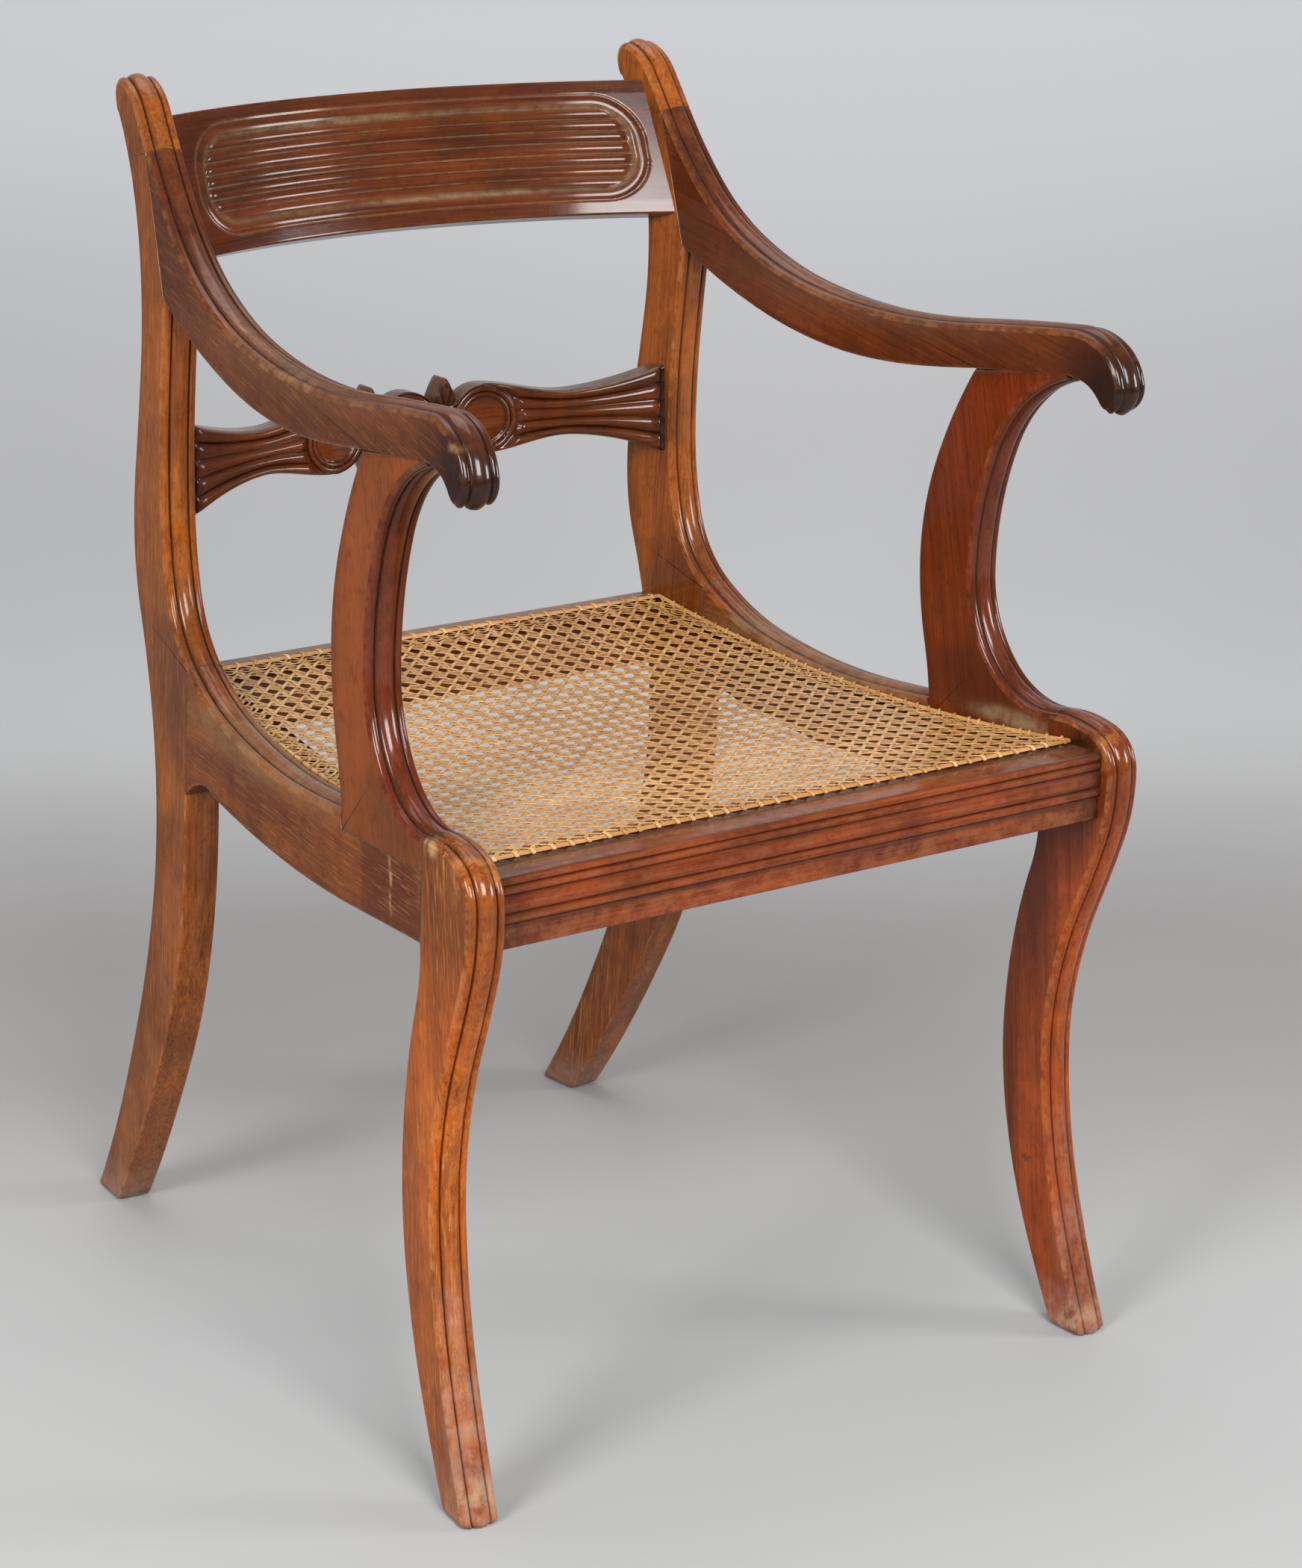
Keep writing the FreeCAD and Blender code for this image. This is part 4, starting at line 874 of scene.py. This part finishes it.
# %% Wood
def mahogany(name, deep, body, light, worn, dull, gloss, figure=1):
    """Wood of one tone: a table of layers, each a tint mixed in by its mark on the mesh times a noise.

    The noise is ranged from one share to another; a layer with no mark lies all over. Figure, streaks and pores are
    drawn out along the grain, the others are patches on the surface.
    """
    material, tree = blank(name)
    grain = add(tree, "ShaderNodeAttribute", attribute_name="grain").outputs["Vector"]
    spot = add(tree, "ShaderNodeTexCoord").outputs["Object"]
    noise = {}
    # waves per millimetre along and across the grain: figure 18 mm wide, streaks 2 mm, pores 0.6 mm, scuffs 1 by 25 mm
    for key, along, across, detail in (("figure", 0.0045, 0.055, 3), ("streak", 0.012, 0.5, 4),
                                       ("pore", 0.075, 1.7, 2), ("scratch", 0.04, 0.95, 5)):
        drawn = add(tree, "ShaderNodeVectorMath", {0: grain, 1: (along, across, across)}, operation="MULTIPLY")
        noise[key] = add(tree, "ShaderNodeTexNoise", {"Vector": drawn.outputs[0], "Scale": 1, "Detail": detail,
                                                      "Roughness": 0.6}).outputs[0]
    # waves per metre: clouds of polish 60 mm wide, chips and rubs 10 mm, specks 2 mm
    for key, scale, detail in (("cloud", 16, 6), ("chip", 95, 4), ("speck", 420, 3)):
        noise[key] = add(tree, "ShaderNodeTexNoise", {"Vector": spot, "Scale": scale, "Detail": detail,
                                                      "Roughness": 0.65}).outputs[0]
    layers = (
        # mark, noise, noise from and to, share there, tint, added roughness
        (None, "figure", 0.5 - 0.2 / figure, 0.5 + 0.2 / figure, 0, 1, body, 0),
        (None, "streak", 0.32, 0.68, 0, 0.6, light, 0),
        ("face", "cloud", 0.25, 0.75, 0.15, 0.6, dull, 0.3),
        (None, "pore", 0.57, 0.7, 0, 0.7, "#2A120A", 0),
        (None, "cloud", 0.44, 0.64, 0, 0.5, deep, 0),
        (None, "chip", 0.56, 0.72, 0, 0.5, deep, 0),
        ("shade", "cloud", 0.3, 0.65, 0.95, 0.55, "#331509", -0.1),
        ("repair", "streak", 0.3, 0.7, 0.95, 0.6, "#4C2010", 0),
        ("face", "speck", 0.66, 0.74, 0, 0.6, "#BE9A78", 0.2),
        ("scuff", "scratch", 0.55, 0.66, 0, 0.75, worn, 0.2),
        ("wear", "chip", 0.42, 0.7, 0, 0.42, worn, -0.1),
        (None, "speck", 0.62, 0.72, 0, 0.6, "#2A120A", 0),
        ("grime", "chip", 0.2, 0.7, 0.98, 0.75, "#140A06", 0),
        ("scar", "chip", 0.36, 0.6, 0, 0.8, "#C09A6C", 0.25),
        ("dust", "chip", 0.32, 0.64, 0.2, 0.66, "#8C7759", 0.35),
        ("foot", "chip", 0.34, 0.62, 0.15, 0.7, "#A08676", 0.3),
    )
    colour, rough = deep, gloss
    layers_rough = [(noise["speck"], 0.12), (noise["cloud"], 0.18)]
    for mark, key, low, high, least, most, tint, more in layers:
        share = add(tree, "ShaderNodeMapRange", {0: noise[key], 1: low, 2: high, 3: least, 4: most}).outputs[0]
        if mark:
            where = add(tree, "ShaderNodeAttribute", attribute_name=mark).outputs["Fac"]
            share = add(tree, "ShaderNodeMath", {0: share, 1: where}, operation="MULTIPLY", use_clamp=True).outputs[0]
        colour = add(tree, "ShaderNodeMix", {0: share, 6: colour, 7: tint}, data_type="RGBA").outputs[2]
        if more:
            layers_rough.append((share, more))
    for share, more in layers_rough:
        rough = add(tree, "ShaderNodeMath", {0: share, 1: more, 2: rough}, operation="MULTIPLY_ADD").outputs[0]
    normal = {}
    for key, strength, distance in (("pore", -0.25, 0.0004), ("chip", 0.3, 0.0006), ("cloud", 0.25, 0.003)):
        sunk = {"Strength": abs(strength), "Distance": distance, "Height": noise[key]}
        normal = {"Normal": add(tree, "ShaderNodeBump", {**sunk, **normal}, invert=strength < 0).outputs[0]}
    # polish lies thick on worked edges and is rubbed thin on the outer faces
    flat = add(tree, "ShaderNodeAttribute", attribute_name="face").outputs["Fac"]
    polish = add(tree, "ShaderNodeMapRange", {0: flat, 1: 0, 2: 1, 3: 0.48, 4: 0.14}).outputs[0]
    wood = add(tree, "ShaderNodeBsdfPrincipled", {
        "Base Color": colour, "Roughness": rough, "Specular IOR Level": 0.06, "Coat Weight": polish,
        "Coat Roughness": 0.12, **normal})
    add(tree, "ShaderNodeOutputMaterial", {"Surface": wood.outputs[0]})
    return material


tones = {
    # warm orange brown, as sun and wear have left the left leg; the right one kept its red polish
    "leg": mahogany("Mahogany faded orange", "#5E2406", "#AE5010", "#CE701C", "#CC8C4C", "#AA5618", 0.12),
    "right leg": mahogany("Mahogany red polish", "#4C1A05", "#92390B", "#AC5014", "#BC7C42", "#8E4414", 0.1),
    "post": mahogany("Mahogany worn red", "#4A1E08", "#884410", "#A65C1E", "#B47C48", "#8E4E1C", 0.1),
    # supports: dark and polished inside the arms, faded outside
    "prop": mahogany("Mahogany red brown", "#3A1104", "#6A2608", "#823810", "#8E4C28", "#A05A20", 0.1),
    # arms and side rails: duller brown under old wax
    "arm": mahogany("Mahogany dull brown", "#321407", "#58260C", "#703614", "#96602F", "#6C3E24", 0.16),
    "rail": mahogany("Mahogany rail brown", "#3A1A08", "#723610", "#8E4A18", "#A67440", "#7E421A", 0.14),
    # front rail: redder, where knees and hands have kept it polished
    "front": mahogany("Mahogany rubbed red", "#361206", "#722E10", "#8C421A", "#AC6E44", "#7A3C1C", 0.1),
    # the carved back: dark brown and still polished
    "back": mahogany("Mahogany dark polish", "#280F04", "#56240A", "#703610", "#8A5A34", "#56240A", 0.05, 1.3),
}
tones["lip"] = tones["rail"]
for (kind, hand), piece in boards.items():
    piece.data.materials.append(tones.get(hand + " " + kind, tones[kind]))
for piece, kind in ((top_bar, "back"), (centre_rail, "back"), (front_rail, "front"), (rear_rail, "rail")):
    piece.data.materials.append(tones[kind])
print("wood tones", len(tones))

# %% [markdown]
# ## Cane, iron and pegs
# Cane is the hard shiny skin of a palm stem: straw yellow that goes honey brown with age, darkest at its edges and
# crossings, with dirt there and painted shade on the strands' edges, undersides and where they dip under a crossing
# strand. Every strand has its own tone, and the strands on the left are painted paler, as painted light. The surface
# has fine lines along it. The iron screws, beech pegs and mahogany pellets are the CAD solids themselves, so they only
# need a finish.

# %% Cane
material, tree = blank("Aged split cane, painted light and shade")
strand = add(tree, "ShaderNodeAttribute", attribute_name="strand").outputs["Vector"]
tone = add(tree, "ShaderNodeAttribute", attribute_name="tone").outputs["Fac"]
spot = add(tree, "ShaderNodeTexCoord").outputs["Object"]
stretch = add(tree, "ShaderNodeVectorMath", {0: strand, 1: (0.05, 2.5, 1)}, operation="MULTIPLY")
lines = add(tree, "ShaderNodeTexNoise", {"Vector": stretch.outputs[0], "Scale": 1, "Detail": 3}).outputs[0]
stain = add(tree, "ShaderNodeTexNoise", {"Vector": spot, "Scale": 9, "Detail": 4, "Roughness": 0.6}).outputs[0]
stain = add(tree, "ShaderNodeMapRange", {0: stain, 1: 0.45, 2: 0.7, 3: 0, 4: 0.55}).outputs[0]
colour = add(tree, "ShaderNodeMix", {0: tone, 6: "#A86C2C", 7: "#EBC382"}, data_type="RGBA").outputs[2]
colour = add(tree, "ShaderNodeMix", {0: lines, 6: "#8C5822", 7: colour}, data_type="RGBA").outputs[2]
colour = add(tree, "ShaderNodeMix", {0: stain, 6: colour, 7: "#8A5A2A"}, data_type="RGBA").outputs[2]
# the grime attribute on cane: dirt, with painted shade on strand edges, undersides and under crossings, mixed to
# #4E280C
dirt = add(tree, "ShaderNodeAttribute", attribute_name="grime").outputs["Fac"]
colour = add(tree, "ShaderNodeMix", {0: dirt, 6: colour, 7: "#4E280C"}, data_type="RGBA").outputs[2]
bump = add(tree, "ShaderNodeBump", {"Strength": 0.3, "Distance": 0.0003, "Height": lines})
# glossy skin that catches the light on each strand's crown
shade = add(tree, "ShaderNodeBsdfPrincipled", {"Base Color": colour, "Roughness": 0.3, "Normal": bump.outputs[0]})
add(tree, "ShaderNodeOutputMaterial", {"Surface": shade.outputs[0]})
for piece in cane:
    piece.data.materials.append(material)
print("cane pieces", len(cane))


# %% Small fittings
def fitting(name, first, second, metal, rough):
    """A small part's finish: two tones in patches of about 3 mm."""
    material, tree = blank(name)
    spot = add(tree, "ShaderNodeTexCoord").outputs["Object"]
    patch = add(tree, "ShaderNodeTexNoise", {"Vector": spot, "Scale": 300, "Detail": 4}).outputs[0]
    colour = add(tree, "ShaderNodeMix", {0: patch, 6: first, 7: second}, data_type="RGBA").outputs[2]
    shade = add(tree, "ShaderNodeBsdfPrincipled", {"Base Color": colour, "Roughness": rough, "Metallic": metal})
    add(tree, "ShaderNodeOutputMaterial", {"Surface": shade.outputs[0]})
    return material


fittings = {
    "arm_screws": fitting("Hand filed iron", "#3A342F", "#6A5F55", 0.9, 0.5),
    "corner_pegs": fitting("Beech peg", "#9C7548", "#C29B66", 0, 0.6),
    "support_dowels": fitting("Beech dowel", "#94703F", "#B98F58", 0, 0.6),
    "screw_pellets": fitting("Mahogany pellet", "#6E3418", "#A15A2E", 0, 0.4),
}
for node, finish in fittings.items():
    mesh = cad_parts[node].data
    mesh.materials.clear()
    mesh.materials.append(finish)
print("materials", len(bpy.data.materials))

# %% [markdown]
# ## Studio
# The photograph was taken on a sweep of pale grey paper. The paper is one curved sheet of one grey, with painted light
# and
# shade along it: light in front, darker where the floor turns up, light again at the top.

# %% Paper sweep
azimuth, elevation = math.radians(-33.764), math.radians(17.292)
away = np.array([-math.sin(azimuth), math.cos(azimuth), 0])
aside = np.array([math.cos(azimuth), math.sin(azimuth), 0])
bend_at, bend_radius, front_end = 1.1, 0.9, -5        # metres from under the chair
floor_run = np.linspace(front_end, bend_at, 60)
quarter = np.linspace(0, math.pi / 2, 40)[1:]
wall = np.linspace(0, 4, 40)[1:]
run = np.r_[floor_run, bend_at + bend_radius * np.sin(quarter), np.full(39, bend_at + bend_radius)]
height = np.r_[np.zeros(60), bend_radius * (1 - np.cos(quarter)), bend_radius + wall]
length = travel(np.stack([run, height], -1)) + front_end
width = np.linspace(-6, 6, 3)
upright = np.array([0, 0, 1])
sheet = run[:, None, None] * away + width[:, None] * aside + height[:, None, None] * upright
index = np.arange(sheet.shape[0] * 3).reshape(-1, 3)
faces = np.stack([index[:-1, :-1], index[:-1, 1:], index[1:, 1:], index[1:, :-1]], -1).reshape(-1, 4)
mesh = bpy.data.meshes.new("Paper sweep")
mesh.from_pydata(sheet.reshape(-1, 3).tolist(), [], faces.tolist())
mesh.polygons.foreach_set("use_smooth", np.ones(len(mesh.polygons), bool))
layer = mesh.attributes.new("sweep", "FLOAT", "POINT")
layer.data.foreach_set("value", np.repeat(length, 3).astype(np.float32))
paper = bpy.data.objects.new("Paper_sweep", mesh)
bpy.context.scene.collection.objects.link(paper)
paper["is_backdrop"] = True

material, tree = blank("Grey studio paper, painted light and shade")
far = add(tree, "ShaderNodeAttribute", attribute_name="sweep").outputs["Fac"]
ramp_start, ramp_end = -0.6, 2.4
share = add(tree, "ShaderNodeMapRange", {0: far, 1: ramp_start, 2: ramp_end}).outputs[0]
# painted light and shade: the ramp darkens and lightens the paper's one grey along the sweep
paper_painted_light_and_shade = add(tree, "ShaderNodeValToRGB", {0: share})
stops = paper_painted_light_and_shade.color_ramp.elements
# metres along the sheet from under the chair, and its tone there: the paper's grey with painted light and shade
for metres, tone in ((-0.4, "#9D9D9C"), (0, "#9F9F9E"), (0.3, "#979592"), (0.55, "#92908E"), (0.85, "#989695"),
                     (1.25, "#ABABAB"), (1.6, "#A2A2A3"), (1.9, "#A0A0A2"), (2.27, "#ABACAE")):
    stops.new((metres - ramp_start) / (ramp_end - ramp_start)).color = linear(tone)
stops[0].color, stops[len(stops) - 1].color = stops[1].color, stops[len(stops) - 2].color
paper_painted_light_and_shade.color_ramp.interpolation = "CARDINAL"
shade = add(tree, "ShaderNodeBsdfPrincipled", {"Base Color": paper_painted_light_and_shade.outputs[0], "Roughness": 0.85,
                                               "Specular IOR Level": 0.2})
add(tree, "ShaderNodeOutputMaterial", {"Surface": shade.outputs[0]})
mesh.materials.append(material)
print("paper sweep", len(faces), "faces")

# %% [markdown]
# Soft boxes stand by the camera and to both sides, and a fourth washes the paper behind the chair. The camera stands
# where the photographer's did: its place was worked out from points that mirror each other on the chair.

# %% Light and camera
world = bpy.data.worlds.new("Studio room")
bpy.context.scene.world = world
world.use_nodes = True
world.node_tree.nodes["Background"].inputs[0].default_value = linear("#E2E4E8")
world.node_tree.nodes["Background"].inputs[1].default_value = 0.5


def lamp(name, place_at, target, size, power):
    """A soft square light that looks at a point."""
    data = bpy.data.lights.new(name, "AREA")
    data.shape, data.size, data.energy = "SQUARE", size, power
    light = bpy.data.objects.new(name, data)
    light.location = place_at
    aim = np.array(target) - np.array(place_at)
    flat = math.hypot(aim[0], aim[1])
    light.rotation_euler = (math.atan2(flat, -aim[2]), 0, math.atan2(aim[1], aim[0]) - math.pi / 2)
    bpy.context.scene.collection.objects.link(light)


lamp("Soft box by the camera", (-0.6, -2.2, 1.64), (0.1, 0.1, 0.4), 1, 72)
lamp("Soft box right", (2.3, -1.7, 1.05), (0, 0, 0.3), 0.8, 40)
lamp("Soft box left", (-2.5, -0.9, 1.6), (0, 0, 0.3), 1, 66)
lamp("Wash on the paper", (0.1, 1.2, 3.2), (0.7, 1.9, 0.8), 2.4, 44)

camera_data = bpy.data.cameras.new("Photograph")
camera_data.lens, camera_data.sensor_width, camera_data.sensor_fit = 84.59, 36, "AUTO"
camera = bpy.data.objects.new("Photograph", camera_data)
camera.location = (-1.30783, -2.07870, 1.13017)
camera.rotation_euler = (math.pi / 2 - elevation, 0, azimuth)
bpy.context.scene.collection.objects.link(camera)
bpy.context.scene.camera = camera
bpy.context.scene.view_settings.view_transform = "Standard"
print("lamps", len(bpy.data.lights), "camera", tuple(camera.location))

# %% [markdown]
# Last come the sizes. The new skins should fill the box of the CAD model and no more.

# %% Sizes
low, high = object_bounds()
print("visual box", tuple(low), tuple(high))
